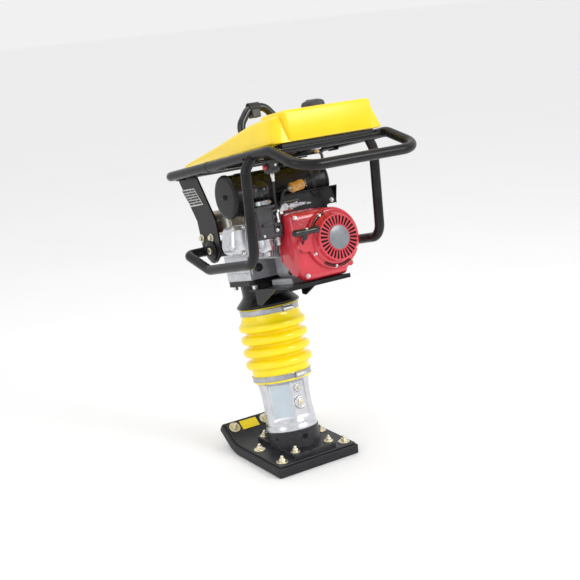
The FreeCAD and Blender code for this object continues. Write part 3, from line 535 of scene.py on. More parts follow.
def shoe_line(height, rear, end):
    """Side line of the shoe at one height, flat, bent and straight again."""
    line = [(rear, height)]
    for i in range(13):
        angle = TOE_ANGLE * i / 12
        radius = TOE_RADIUS - height
        line.append((FLAT_FRONT + radius * math.sin(angle), TOE_RADIUS - radius * math.cos(angle)))
    line.append(toe_point(end, height))
    return line


def add_shoe_layer(bm, low, high, half, rear, end):
    outline = shoe_line(low, rear, end) + list(reversed(shoe_line(high, rear, end)))
    add_prism(bm, [(-half, y, z) for y, z in outline], (2 * half, 0, 0))


def make_shoe():
    bm = bmesh.new()
    half = SOLE_BOX[1].x
    add_shoe_layer(bm, 0, SOLE_THICK, half, SOLE_BOX[0].y, TOE_STRAIGHT)
    piece("shoe_sole_block", bm, SOLE, "foot", TO_GROUND, bevel=5, replaces=["shoe_sole"],
          smooth=50,
          segments=4)
    bm = bmesh.new()
    inset = half - PLATE_BOX[1].x
    top = SOLE_THICK + PLATE_THICK
    add_shoe_layer(bm, SOLE_THICK, top, half - inset, SOLE_BOX[0].y + inset, TOE_STRAIGHT - inset)
    piece("shoe_wear_plate", bm, PLATE, "foot", TO_GROUND, bevel=2.2, replaces=["shoe_plate"],
          smooth=50)
    bm = bmesh.new()
    slope = Vector((0, -math.sin(TOE_ANGLE), math.cos(TOE_ANGLE)))
    ledge = corners_of("foot_adapter", TO_GROUND)[0].z + 15
    for low, high in islands_of("shoe_bolts"):
        middle = (low + high) / 2
        if middle.y > FLAT_FRONT:
            add_dome_nut(bm, (middle.x, *toe_point(28.0, top)), slope, 18, 17)
        elif high.x - low.x > WIDE_WASHER:
            add_dome_nut(bm, (middle.x, middle.y, top), UP, 18, 17)
        else:
            add_dome_nut(bm, (middle.x, middle.y, ledge), UP, 14.5, 16)
    piece("shoe_dome_nuts", bm, ZINC, "foot", TO_GROUND, replaces=["shoe_bolts"], smooth=30)
    bm = bmesh.new()
    near = toe_point(12.0, top + 0.1)
    far = toe_point(44.0, top + 0.1)
    add_prism(bm, [(-88, *near), (-28, *near), (-28, *far), (-88, *far)], 0.5 * slope)
    piece("toe_label", bm, LABEL, "foot", TO_GROUND)
    dress("foot_adapter", CAST)


# ---- leg, bellows and clamps --------------------------------------------------------------------
PANEL_TURN = math.radians(226)
PLUG_TURN = math.radians(273)
PANEL_FLAT = 64.5           # distance of the panel's flat from the leg's line
PLUG_FLAT = 69.0
PLUG_LEVEL = 168.0
VENT_LEVEL = 212.0
FLAT_LEVELS = (114.0, 238.0)
RING_LEVELS = (297.0, 335.0, 373.0, 411.0)
RING_R = 103.0
RING_BAR = 13.5
NECK_R = 88.0
VALLEY_R = 81.5
CLAMP_TURN = math.radians(274)
GRUB_TURN = math.radians(265)


def leg_flats(angle, radius, height):
    """The casting's outside, with flat panels on four sides."""
    low, high = FLAT_LEVELS
    if not low < height < high:
        return radius
    share = min(1.0, (height - low) / 12, (high - height) / 8)
    flat_radius = radius
    for turn, distance in ((PANEL_TURN, PANEL_FLAT), (PLUG_TURN, PLUG_FLAT)):
        for side in (0, math.pi):
            off = math.cos(angle - turn - side)
            if off > 0.7:
                flat_radius = min(flat_radius, distance / off)
    return radius + (flat_radius - radius) * share


def on_leg(turn, radius, height):
    return Vector((radius * math.cos(turn), radius * math.sin(turn), height))


def make_leg():
    bm = bmesh.new()
    profile = [(60, 86), (76, 86), (78.5, 88), (79, 92), (78.5, 96), (77, 99), (76, 104)]
    for i in range(25):
        share = i / 24
        waist = 71.5 + 5.5 * (1 - share) ** 2.4 + 7.5 * share ** 3.0
        profile.append((waist, 108 + 126 * share))
    profile += [(81, 238), (83, 241), (83, 246), (60, 246)]
    add_lathe(bm, profile, steps=180, reach=leg_flats, ring=True)
    piece("leg_casting", bm, ALLOY, "foot", replaces=["leg_cylinder"], smooth=24)
    bm = bmesh.new()
    out = on_leg(PLUG_TURN, 1, 0)
    add_lathe(bm, [(21, 0), (21, 11), (19.5, 14.5), (18, 15.5), (14, 15.5), (13, 13.5), (9, 13.5)],
              on_leg(PLUG_TURN, 62, PLUG_LEVEL), out, 48)
    add_lathe(bm, [(13, 0), (13, 10), (11, 12.5), (8, 13)], on_leg(PLUG_TURN, 62, VENT_LEVEL), out, 36)
    for turn in (PANEL_TURN - 0.53, PANEL_TURN + 0.50, PLUG_TURN + 0.36):
        foot = on_leg(turn, 69, 116)
        head = on_leg(turn, 72, 234)
        side = on_leg(turn + math.pi / 2, 2.4, 0)
        add_prism(bm, [foot - side, foot + side, head + side, head - side], on_leg(turn, 5.4, 0))
    piece("leg_bosses", bm, ALLOY, "foot", bevel=1.4, smooth=40)
    bm = bmesh.new()
    add_hex_bolt(bm, on_leg(PLUG_TURN, 75.2, PLUG_LEVEL), out, 15, 5)
    add_lathe(bm, [(10.4, 0), (10.4, 1.6), (9.2, 2.2)], on_leg(PLUG_TURN, 75, PLUG_LEVEL), out, 32)
    add_hex_bolt(bm, on_leg(PLUG_TURN, 74.5, VENT_LEVEL), out, 12, 5)
    piece("leg_plug_bolts", bm, ZINC, "foot", replaces=["leg_plugs"], smooth=30)
    bm = bmesh.new()
    out = on_leg(GRUB_TURN, 1, 0)
    add_lathe(bm, [(7.5, 0), (7.5, 1.2), (6, 1.6), (4, 1.0)], on_leg(GRUB_TURN, 82, 66), out, 28)
    piece("grub_screw_head", bm, DARK, "foot", smooth=40)
    # A thin grey-blue sheet on the panel flat: painted shade, the flat drawn darker than the rest of the leg.
    bm = bmesh.new()
    side = on_leg(PANEL_TURN + math.pi / 2, 29, 0)
    face = on_leg(PANEL_TURN, PANEL_FLAT - 0.2, 0)
    corners = ((-1, 130), (1, 130), (1, 226), (-1, 226))
    add_prism(bm, upright(corners, face, side), on_leg(PANEL_TURN, 0.8, 0))
    piece("leg_panel_painted_shade", bm, PANEL_SHADE, "foot", bevel=0.3)


def bellows_profile():
    """(radius, height) up the outside of the bellows."""
    middle = RING_R - RING_BAR
    profile = [(NECK_R - 4, 240), (NECK_R - 0.6, 240), (NECK_R, 241), (NECK_R, 270), (NECK_R - 0.2, 279)]
    for i, level in enumerate(RING_LEVELS):
        last = i == len(RING_LEVELS) - 1
        for k in range(15):
            angle = math.radians(-98 + (158 if last else 196) * k / 14)
            profile.append((middle + RING_BAR * math.cos(angle), level + RING_BAR * math.sin(angle)))
        if not last:
            gap = (level + RING_LEVELS[i + 1]) / 2
            profile += [(VALLEY_R + 0.9, gap - 2.6), (VALLEY_R, gap), (VALLEY_R + 0.9, gap + 2.6)]
    profile += [(93.4, 428), (90.6, 435), (88.8, 442), (NECK_R, 448), (NECK_R, 467), (NECK_R - 0.6, 468),
                (NECK_R - 4, 468)]
    return profile


def make_bellows():
    bm = bmesh.new()
    outside = bellows_profile()
    inside = [(radius - 3.5, height) for radius, height in reversed(outside[2:-2])]
    add_lathe(bm, outside + inside, steps=120, ring=True)
    obj = piece("bellows_sleeve", bm, BELLOWS, "foot", replaces=["bellows"], smooth=70,
                ride=False)
    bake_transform(obj)


def upright(corners, seat, side):
    """Points in the plane of side and the leg's line, from (along side, up) pairs."""
    return [seat + side * dx + Vector((0, 0, dz)) for dx, dz in corners]


def make_clamp(node, level, body):
    """Worm-screw band: ring, screw housing, pressed slots and the free tail."""
    turn = CLAMP_TURN
    radius = NECK_R + 0.4
    low, high = level - 8, level + 8
    bm = bmesh.new()
    add_lathe(bm, [(radius, low), (radius + 2.2, low), (radius + 2.6, low + 1), (radius + 1.6, low + 2),
                   (radius + 1.6, high - 2), (radius + 2.6, high - 1), (radius + 2.2, high), (radius, high)],
              steps=120, ring=True)
    out = on_leg(turn, 1, 0)
    side = on_leg(turn + math.pi / 2, 1, 0)
    seat = on_leg(turn, radius + 2, level)
    add_prism(bm, upright(((-13, -9), (13, -9), (13, 9), (-13, 9)), seat, side), out * 5)
    for step in range(9):
        spot = turn - 0.20 - 0.04 * step
        place = on_leg(spot, radius + 1.6, level)
        tangent = on_leg(spot + math.pi / 2, 1.0, 0)
        add_prism(bm, upright(((-1, -5.5), (1, -4.5), (1, 5.5), (-1, 4.5)), place, tangent), out * 1.2)
    for step in range(6):
        near = on_leg(turn + 0.14 + 0.05 * step, radius + 2.2 + 0.4 * step, level)
        far = on_leg(turn + 0.19 + 0.05 * step, radius + 2.6 + 0.4 * step, level)
        lift = Vector((0, 0, 6.5))
        add_prism(bm, [near - lift, far - lift, far + lift, near + lift], out * 0.9)
    piece(node + "_band", bm, BAND, body, replaces=[node], smooth=40)
    bm = bmesh.new()
    screw = seat + out * 6
    add_rod(bm, 5.2, screw - side * 15, screw + side * 14, 24, 1.0)
    add_lathe(bm, [(6.4, 0), (6.4, 5), (5.2, 6)], screw + side * 14, side, 6)
    for step in range(8):
        add_lathe(bm, [(5.2, 0), (5.9, 0.6), (5.2, 1.2)], screw - side * (13 - 2.8 * step), side, 20)
    piece(node + "_screw", bm, BOLT, body, smooth=35)


# ---- machine body -------------------------------------------------------------------------------
CASE_HALF = 80.0
CASE_FLOOR = 540.0
COVER_LEVEL = 545.0         # case bolts above this one hold the front cover
ENGINE_X = centre_of("starter_pulley").x
ENGINE_U = centre_of("starter_pulley").z
SHAFT = Vector((ENGINE_X, 0, ENGINE_U))
CYLINDER_F = -147.0
HEAD_OUTLINE = ((-32, -44), (32, -44), (43, -30), (43, 30), (32, 44), (-32, 44), (-43, 30), (-43, -30))


def make_case():
    for node, material in (("skirt_cone", PAINT), ("crankcase_flange", PAINT), ("guide_cylinder", STEEL),
                           ("crankcase", DIECAST), ("clutch_housing", DIECAST), ("crankcase_cover", DIECAST),
                           ("engine_bracket", PAINT), ("rubber_mounts", DULL), ("engine_block", DIECAST),
                           ("bearings", STEEL), ("leg_springs", STEEL), ("spring_piston", STEEL),
                           ("crank_gear", STEEL), ("connecting_rod", STEEL), ("clutch_drum", STEEL),
                           ("engine_rotor", STEEL), ("starter_pulley", MOULD), ("starter_rope", DULL)):
        dress(node, material)
    low, high = corners_of("crankcase")
    bm = bmesh.new()
    for x in (-CASE_HALF + 8, CASE_HALF - 8):
        add_box(bm, (x - 2.5, low.y - 4, low.z + 16), (x + 2.5, low.y + 2, high.z - 22))
    for u in (575, 600, 625):
        add_box(bm, (-CASE_HALF - 3.5, -54, u), (-CASE_HALF + 2, 54, u + 4))
        add_box(bm, (CASE_HALF - 2, -54, u), (CASE_HALF + 3.5, 54, u + 4))
    piece("crankcase_ribs", bm, DIECAST, "machine", bevel=1.2)
    bm = bmesh.new()
    for low, high in islands_of("case_bolts", TO_LEG):
        middle = (low + high) / 2
        if middle.z < COVER_LEVEL:
            add_hex_bolt(bm, (middle.x, middle.y, CASE_FLOOR), DOWN, 15, 9, 10)
        else:
            add_hex_bolt(bm, (middle.x, 81, middle.z), FRONT, 11, 5, 7)
    piece("case_hex_bolts", bm, BOLT, "machine", replaces=["case_bolts"], smooth=30)
    bm = bmesh.new()
    add_lathe(bm, [(13, 0), (13, 6), (11.5, 8), (7, 9), (7, 17), (5.5, 18)], (-50, -70, 590), REAR, 10)
    add_hex_bolt(bm, (-6, -180, 562), LEFT, 14, 8)
    piece("oil_plug_heads", bm, MOULD, "machine", replaces=["oil_plugs"], smooth=30)


def tip(bm):
    """Turns what is drawn along -X from the shaft to the cylinder's slope."""
    slope = Matrix.Rotation(math.radians(11), 4, "Y")
    turn = Matrix.Translation(SHAFT) @ slope @ Matrix.Translation(-SHAFT)
    bmesh.ops.transform(bm, matrix=turn, verts=bm.verts)


def make_cylinder():
    bm = bmesh.new()
    start = ENGINE_X
    for i in range(10):
        x = start - 88 - 7.6 * i
        add_box(bm, (x - 2.6, -197, ENGINE_U - 50), (x, -100, ENGINE_U + 50))
    add_rod(bm, 39, (start - 80, CYLINDER_F, ENGINE_U), (start - 168, CYLINDER_F, ENGINE_U), 40)
    add_box(bm, (start - 214, -193, ENGINE_U - 45), (start - 166, -101, ENGINE_U + 45))
    for u in (-34, -20, -6, 8, 22, 36):
        add_box(bm, (start - 208, -196, ENGINE_U + u), (start - 168, -98, ENGINE_U + u + 3))
    tip(bm)
    piece("cylinder_fins", bm, DIECAST, "machine", bevel=0.8, replaces=["cylinder_head"],
          segments=2)
    bm = bmesh.new()
    add_prism(bm, [(start - 213, CYLINDER_F + f, ENGINE_U + u) for f, u in HEAD_OUTLINE], (-5, 0, 0))
    rows = []
    for x, share in ((-218, 0.93), (-238, 0.90), (-250, 0.80), (-255.5, 0.66)):
        level = [(start + x, CYLINDER_F + f * share, ENGINE_U + u * share) for f, u in HEAD_OUTLINE]
        rows.append([bm.verts.new(point) for point in level])
    add_skin(bm, rows)
    add_lathe(bm, [(20, 0), (20, 1.4), (18.5, 2.0), (17, 1.2)], (start - 255, CYLINDER_F, ENGINE_U), LEFT, 8)
    tip(bm)
    piece("rocker_box", bm, ALLOY, "machine", bevel=2.2, replaces=["rocker_cover"], smooth=20,
          segments=4)
    bm = bmesh.new()
    for f, u in ((-38, -38), (38, -38), (38, 38), (-38, 38)):
        add_hex_bolt(bm, (start - 218, CYLINDER_F + f * 0.97, ENGINE_U + u * 0.97), LEFT, 9, 5, 6)
    add_rod(bm, 6, (start - 190, -197, ENGINE_U + 16), (start - 186, -214, ENGINE_U + 20), 20, 1)
    tip(bm)
    piece("head_bolts", bm, BOLT, "machine", smooth=30)


# ---- fan cover and recoil starter -----------------------------------------------------------------
COVER_ROWS = ((-212, 0), (-226, 0), (-242, 0), (-258, 0), (-272, 0.5), (-284, 2), (-292, 5), (-297, 9),
              (-299.6, 15), (-300, 22))          # each F with how far the outline is drawn in there
SLOTS = 30
SLOT_SHARE = 0.58


def about_shaft(degrees, radius, f):
    """Point round the engine's shaft."""
    a = math.radians(degrees)
    return (ENGINE_X + radius * math.cos(a), f, ENGINE_U + radius * math.sin(a))


def cover_outline(inset):
    """Points of the fan cover's outline in X and U: round on the right, square on the left."""
    left, top, low = -50 + inset, 731 - inset, 531 + inset
    radius = 91 - inset
    cx = ENGINE_X - 4
    points = [(left, low + 22), (left, top - 10), (left + 3, top - 3), (left + 10, top)]
    points += [(left + 45, top), (cx - 30, top)]
    for i in range(13):
        angle = math.radians(90 - 102 * i / 12)
        points.append((cx + radius * math.cos(angle), 640 + radius * math.sin(angle)))
    for i in range(1, 9):
        angle = math.radians(-12 - 52 * i / 8)
        points.append((cx + radius * math.cos(angle), 620 + radius * 0.98 * math.sin(angle)))
    points += [(cx + 36, low), (cx - 30, low), (left + 40, low), (left + 12, low + 4)]
    return points


def undercut(x, f, u):
    """Raises the cover's lower left edge towards the engine."""
    slope = 606 - 0.95 * (-205 - f)
    share = max(0.0, min(1.0, (50 - x) / 60))
    return max(u, 531 + (slope - 531) * share)


def make_fan_cover():
    bm = bmesh.new()
    rows = []
    for f, inset in COVER_ROWS:
        rows.append([bm.verts.new((x, f, undercut(x, f, u))) for x, u in cover_outline(inset)])
    add_skin(bm, rows)
    piece("fan_cover_shell", bm, RED, "machine", replaces=["fan_cover"], smooth=40)
    bm = bmesh.new()
    for i in range(4):
        u = 700 - 7 * i
        route = [(-34, -300.2, u), (-16, -300.6, u + 1.5), (6, -300.2, u + 2)]
        add_tube(bm, route, 1.6, 8, squash=0.8)
    for x, u in ((-30, 550), (120, 560), (-38, 716)):
        add_lathe(bm, [(9, 0), (9, 2.4), (7.6, 3.4), (5, 3.6)], (x, -298.5, u), REAR, 28)
    rim = [(x, -213.5, undercut(x, -213.5, u)) for x, u in cover_outline(-0.6)]
    add_tube(bm, rim, 2.0, 8, closed=True)
    piece("fan_cover_ribs", bm, RED, "machine", smooth=50)
    bm = bmesh.new()
    for x, u in ((-30, 550), (-38, 716)):
        add_hex_bolt(bm, (x, -301.8, u), REAR, 9, 4.5, 6.5)
    for angle in (118, 205, 262, 330):
        add_hex_bolt(bm, about_shaft(angle, 79, -311), REAR, 8, 4, 6)
    piece("cover_screws", bm, BOLT, "machine", smooth=30)


def add_slotted_face(bm, faces, radii):
    """Flat ring between two F planes, drawn about the shaft, with slots between the middle two radii."""
    grid = {}
    for i in range(SLOTS):
        for k, share in enumerate((0.0, SLOT_SHARE)):
            for r_index, radius in enumerate(radii):
                for layer, f in enumerate(faces):
                    point = about_shaft(360 * (i + share) / SLOTS, radius, f)
                    grid[(2 * i + k, r_index, layer)] = bm.verts.new(point)
    count = 2 * SLOTS
    for i in range(count):
        j = (i + 1) % count
        for r_index in range(3):
            open_here = r_index == 1 and i % 2 == 0
            if not open_here:
                for layer in (0, 1):
                    bm.faces.new([grid[(n, r, layer)] for n, r in
                                  ((i, r_index), (j, r_index), (j, r_index + 1), (i, r_index + 1))])
            else:
                for r in (1, 2):
                    bm.faces.new([grid[(i, r, 0)], grid[(j, r, 0)], grid[(j, r, 1)], grid[(i, r, 1)]])
                for n in (i, j):
                    bm.faces.new([grid[(n, 1, 0)], grid[(n, 2, 0)], grid[(n, 2, 1)], grid[(n, 1, 1)]])
        for r_index in (0, 3):
            bm.faces.new([grid[(i, r_index, 0)], grid[(j, r_index, 0)], grid[(j, r_index, 1)],
                          grid[(i, r_index, 1)]])


def make_recoil():
    bm = bmesh.new()
    add_lathe(bm, [(64, 300), (87, 300), (88, 302), (88, 307), (86, 311), (82, 314), (79, 314.5), (77, 313),
                   (75, 313), (72, 317), (69, 319), (67.5, 321), (67, 333), (65.8, 336), (64.5, 337),
                   (63, 337), (63, 333)], SHAFT, REAR, 108, ring=True)
    add_slotted_face(bm, (-336.8, -335.0), (33, 37.5, 61.5, 64.5))
    piece("recoil_housing", bm, RED, "machine", replaces=["recoil_cover"], smooth=35)
    bm = bmesh.new()
    add_lathe(bm, [(1, 333.6), (63, 333.6), (63, 334.6), (1, 334.6)], SHAFT, REAR, 64)
    for start, stop, radius, f in ((104, 152, 82, -314.2), (104, 152, 78.4, -314.2), (106, 150, 75, -313.4),
                                   (232, 300, 82, -314.2), (232, 300, 78.4, -314.2), (235, 297, 75, -313.4)):
        route = [about_shaft(start + (stop - start) * i / 8, radius, f) for i in range(9)]
        add_tube(bm, route, 1.5, 8, squash=0.7)
    piece("recoil_vents", bm, DARK, "machine", smooth=40)
    bm = bmesh.new()
    add_lathe(bm, [(1, 336), (34, 336), (34, 338.4), (33, 339.4), (31.5, 339.8), (1, 340.4)], SHAFT, REAR, 72)
    piece("recoil_emblem", bm, EMBLEM, "machine", smooth=30)
    make_rope_guide()
    make_starter_handle()


def make_rope_guide():
    bm = bmesh.new()
    lobe = []
    for i in range(15):
        a = math.radians(90 + 180 * i / 14)
        lobe.append((-26 + 23 * math.cos(a), -300, ENGINE_U + 23 * math.sin(a)))
    lobe += [(20, -300, ENGINE_U - 25), (20, -300, ENGINE_U + 25)]
    add_prism(bm, lobe, (0, -16, 0))
    piece("rope_guide", bm, RED, "machine", bevel=3, smooth=40)


def make_starter_handle():
    """T-shaped grip: a bar thickest near its ends, on a stem along the rope's pull."""
    bm = bmesh.new()
    low, high = corners_of("starter_grip")
    middle = Vector(((low.x + high.x) / 2, low.y + 8.5, high.z - 8.5))
    rows = []
    for x, size in ((-43.4, 0.2), (-43, 0.55), (-41, 0.85), (-37, 1.0), (-24, 0.98), (-10, 0.86), (0, 0.84),
                    (10, 0.86), (24, 0.98), (37, 1.0), (41, 0.85), (43, 0.55), (43.4, 0.2)):
        row = []
        for k in range(24):
            a = 2 * math.pi * k / 24
            row.append(bm.verts.new(middle + Vector((x, 9 * size * math.cos(a), 10 * size * math.sin(a)))))
        rows.append(row)
    add_skin(bm, rows)
    pull = Vector((0, -0.64, 0.768))
    add_lathe(bm, [(6.2, -26), (8.2, -24), (8.2, -18), (7, -10), (8.5, -4), (5, 0)], middle, pull, 24)
    piece("starter_handle", bm, RUBBER, "starter", replaces=["starter_grip"], smooth=60)
    bm = bmesh.new()
    add_lathe(bm, [(2.2, 0), (4.0, 1.0), (3.4, 3.0), (1.4, 3.8)], middle + pull * 8.6, pull, 20)
    piece("rope_knot", bm, BOLT, "starter", smooth=60)


# ---- intake, fuel line and exhaust ----------------------------------------------------------------
CARB_BOX = (Vector((-128, -256, 672)), Vector((-56, -212, 764)))
CANISTER_F = centre_of("air_canister").y
CANISTER_U = centre_of("air_canister").z
ELBOW_F = -232.0


def make_carburettor():
    low, high = CARB_BOX
    bm = bmesh.new()
    add_box(bm, low, high)
    add_box(bm, (low.x + 4, -212, 692), (high.x - 4, -199, 738))
    add_box(bm, (low.x - 3, -250, 680), (low.x + 3, -218, 756))
    add_box(bm, (high.x - 25, -260, 686), (high.x + 2, -254, 752))
    piece("intake_box", bm, GREYMOULD, "machine", bevel=3, replaces=["carburettor"])
    bm = bmesh.new()
    for u0, u1 in ((734, 744), (714, 726), (696, 703)):
        add_box(bm, (high.x - 22, -261, u0), (high.x - 9, -259, u1))
    piece("intake_slots", bm, DARK, "machine", bevel=1)
    bm = bmesh.new()
    add_hex_bolt(bm, (high.x - 19, -260, 692), REAR, 8, 3, 5.5)
    add_hex_bolt(bm, (high.x - 6, -260, 744), REAR, 8, 3)
    add_box(bm, (high.x - 14, -265, 718), (high.x - 9, -261, 740))
    add_lathe(bm, [(4.5, 0), (4.5, 5), (3.4, 6)], (high.x - 11.5, -260, 716), REAR, 20)
    add_hex_bolt(bm, (low.x + 10, -256, 682), REAR, 8, 4)
    piece("intake_fittings", bm, BOLT, "machine", bevel=0.4, smooth=30)
    bm = bmesh.new()
    x, f = -106, -236
    add_lathe(bm, [(16, 0), (21.5, 1), (21.5, 6), (20, 7), (20, 28), (18, 33), (12, 37), (10, 38), (10, 44)],
              (x, f, 673), DOWN, 48)
    add_hex_bolt(bm, (x, f, 631), DOWN, 12, 6)
    add_lathe(bm, [(9.5, 0), (9.5, 6), (8, 8), (8, 20), (6.5, 24), (3, 26)], (-66, -238, 673), DOWN, 36)
    add_rod(bm, 3, (x - 19, f - 4, 650), (x - 27, f - 8, 646), 16, 0.6)
    piece("float_bowl", bm, ALLOY, "machine", smooth=35)
    tip_x = corners_of("choke_lever")[0].x
    bm = bmesh.new()
    arm = ((tip_x, 708), (tip_x, 716), (-92, 718), (-88, 712), (-92, 706))
    add_prism(bm, [(x, -259, u) for x, u in arm], (0, -2.6, 0))
    add_lathe(bm, [(6, 0), (6, 4), (5, 5.4), (2, 6)], (-88, -256.4, 712), REAR, 24)
    add_lathe(bm, [(4, 0), (4.6, 1), (4.6, 4), (3.6, 5)], (tip_x + 4, -261, 712), REAR, 20)
    piece("choke_arm", bm, GREYMOULD, "choke", bevel=0.5, replaces=["choke_lever"])


def make_linkage():
    bm = bmesh.new()
    sheets = ((-234, 2.4, ((-62, 739), (-14, 742), (-8, 752), (-16, 762), (-40, 756), (-62, 750))),
              (-228, 2.4, ((-4, 742), (22, 744), (30, 752), (26, 760), (0, 758))),
              (-222, 2.0, ((14, 744), (76, 747), (76, 751), (40, 756), (14, 752))))
    for f, thick, outline in sheets:
        add_prism(bm, [(x, f, u) for x, u in outline], (0, -thick, 0))
    add_tube(bm, [(-50, -230, 752), (-20, -232, 757), (10, -232, 758), (30, -232, 754)], 1.2, 8)
    add_tube(bm, [(-58, -232, 744), (0, -234, 745), (60, -230, 748)], 1.0, 8)
    for x, u in ((-48, 748), (-4, 749), (60, 749)):
        add_hex_bolt(bm, (x, -228, u), REAR, 7, 3)
    piece("governor_link", bm, STEEL, "machine", bevel=0.3, smooth=40)
    bm = bmesh.new()
    coil = []
    for i in range(121):
        a = 2 * math.pi * i / 10
        coil.append((-40 + 0.55 * i, -240 + 2.6 * math.cos(a), 764 + 2.6 * math.sin(a)))
    add_tube(bm, coil, 0.8, 6)
    piece("governor_spring", bm, STEEL, "machine", smooth=60)
    bm = bmesh.new()
    add_box(bm, (-24, -229, 738), (8, -226.5, 742))
    piece("link_collar", bm, STOP, "machine", bevel=0.5)


def make_canister():
    low, high = corners_of("air_canister")
    bm = bmesh.new()
    length = high.x - low.x
    profile = [(50, 0), (54, 0.2), (62, 4), (63.6, 7), (63.6, 10), (62.2, 12), (60.2, 13), (60, 16)]
    profile += [(60, 60), (60.6, 61), (60.6, 66), (60, 67)]
    profile += [(60, length - 16), (60.2, length - 13), (62.2, length - 12), (63.6, length - 10),
                (63.6, length - 7), (62, length - 4), (54, length - 0.2), (50, length)]
    add_lathe(bm, profile, (low.x, CANISTER_F, CANISTER_U), RIGHT, 96)
    for side, x in ((-1, low.x), (1, high.x)):
        add_lathe(bm, [(1, -1.0), (48, -0.6), (51, 0.4)], (x - side, CANISTER_F, CANISTER_U), (side, 0, 0),
                  72)
    piece("air_canister_shell", bm, PAINT, "machine", replaces=["air_canister"], smooth=35)
    bm = bmesh.new()
    for x in (-112, 100):
        add_lathe(bm, [(60.2, 0), (62.2, 0.4), (62.2, 13.6), (60.2, 14)], (x, CANISTER_F, CANISTER_U), RIGHT,
                  96, ring=True)
    for side, x in ((-1, low.x + 1), (1, high.x - 1)):
        add_hex_bolt(bm, (x, CANISTER_F, CANISTER_U), (side, 0, 0), 13, 5, 9)
    piece("canister_straps", bm, MOULD, "machine", smooth=35)
    make_elbow()


def make_elbow():
    """Rubber elbow: a ball on a cuff, a neck to the canister, and its hose clamp."""
    bm = bmesh.new()
    x = centre_of("intake_elbow").x
    ball = []
    for i in range(17):
        a = math.radians(-62 + 152 * i / 16)
        ball.append((max(0.6, 27.5 * math.cos(a)), 27.5 * math.sin(a)))
    add_lathe(bm, [(21, -44), (21, -27), (14, -25)] + ball, (x, ELBOW_F, 808), UP, 64)
    add_rod(bm, 23, (x, ELBOW_F, 810), (x, CANISTER_F - 42, 810), 48, 1)
    piece("intake_elbow_boot", bm, RUBBER, "machine", replaces=["intake_elbow"], smooth=60)
    bm = bmesh.new()
    add_lathe(bm, [(21, 0), (23.6, 0.3), (23.6, 10.7), (21, 11)], (x, ELBOW_F, 768), UP, 64, ring=True)
    add_rod(bm, 3.6, (x - 4, -258, 773.5), (x + 14, -255, 773.5), 16, 0.8)
    piece("elbow_clamps", bm, BAND, "machine", smooth=35)


def add_route(name, node, route, radius, other=None):
    """Hose or cable on one smooth line; if other is given it rides on no body and stays fixed where it is
    drawn.
    """
    body = "machine"
    bm = bmesh.new()
    add_tube(bm, nurbs_points(route), radius, 16)
    obj = piece(name, bm, DULL, body, replaces=[node], smooth=70, ride=other is None)
    if other:
        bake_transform(obj)


def make_fuel_line():
    upper = [(54, -246, 807.43), (76, -246, 810.57), (98, -262, 832), (88, -312, 866), (50, -352, 890),
             (10, -368, 895), (-2, -380, 894), (-2, -396, 894)]
    lower = [(-8, -246, 798.57), (-24, -246, 796.29), (-33, -243, 772), (-42, -240, 748), (-56.5, -240, 746)]
    cable = [(-112, -350, 852), (-112, -350, 830), (-109, -340, 806), (-100, -320, 784), (-86, -298, 766),
             (-74, -276, 754), (-72, -256, 754)]
    add_route("fuel_hose_to_tap", "fuel_hose_upper", upper, 4, "handle")
    add_route("fuel_hose_to_carburettor", "fuel_hose_lower", lower, 4)
    add_route("throttle_cable_sheath", "throttle_cable", cable, 3, "handle")
    make_filter()
    make_tap()


def make_filter():
    """Clear fuel filter with its ribs, and a wire clip on the hose at each end."""
    bm = bmesh.new()
    a = Vector((2, -246, 800))
    b = Vector((44, -246, 806))
    along = (b - a).normalized()
    length = (b - a).length
    add_lathe(bm, [(4, -9), (4, -2), (8, -1), (13, 0), (15, 3), (15, 9), (14.2, 10), (14.2, length - 10),
                   (15, length - 9), (15, length - 3), (13, length), (8, length + 1), (4, length + 2),
                   (4, length + 9)], a, along, 48)
    for i in range(6):
        angle = math.pi * i / 3
        offset = Vector((0, math.cos(angle), math.sin(angle))) * 13.6
        add_rod(bm, 1.2, a + offset + along * 9, a + offset + along * (length - 9), 8)
    piece("fuel_filter_cup", bm, AMBER, "machine", replaces=["fuel_filter"], smooth=40)
    bm = bmesh.new()
    for place, side in ((a - along * 6, -1), (b + along * 6, 1)):
        for shift in (-2, 2):
            wire = []
            for k in range(20):
                t = 2 * math.pi * k / 20
                wire.append(place + along * shift + Vector((0, 5.4 * math.cos(t), 5.4 * math.sin(t))))
            add_tube(bm, wire, 0.9, 8, closed=True)
        for dz in (-6, 6):
            add_rod(bm, 1.0, place + Vector((0, -5, dz)), place + Vector((0, -11, dz * 1.4)), 8)
        add_lathe(bm, [(6.6, -1.5), (9, -1), (9, 1), (6.6, 1.5)], place + along * (-side * 5), along, 32)
    piece("hose_clips", bm, BOLT, "machine", smooth=50)


def make_tap():
    bm = bmesh.new()
    add_box(bm, (-12, -432, 888), (8, -408, 906))
    piece("fuel_tap_body", bm, ALLOY, "handle", bevel=3, replaces=["fuel_tap"])
    bm = bmesh.new()
    add_lathe(bm, [(6, 0), (8, 1), (8, 6), (6, 8), (6, 12)], (-2, -420, 905), UP, 6)
    add_lathe(bm, [(4, 0), (5.6, 1), (5.6, 4), (4, 5), (4, 12)], (-2, -408, 894), FRONT, 24)
    add_lathe(bm, [(7, 0), (7, 7), (4, 9)], (-2, -420, 888), DOWN, 20)
    piece("fuel_tap_fittings", bm, BRASS, "handle", smooth=35)
    bm = bmesh.new()
    add_lathe(bm, [(7, 0), (7, 3), (6, 4.4), (2, 4.8)], (-2, -432.3, 897), REAR, 24)
    arm = ((-5, 893), (24, 893.5), (28, 897), (24, 900.5), (-5, 901))
    add_prism(bm, [(x, -433.2, u) for x, u in arm], (0, -3.6, 0))
    piece("fuel_tap_arm", bm, MOULD, "tap_lever", bevel=0.7, replaces=["fuel_tap_lever"])


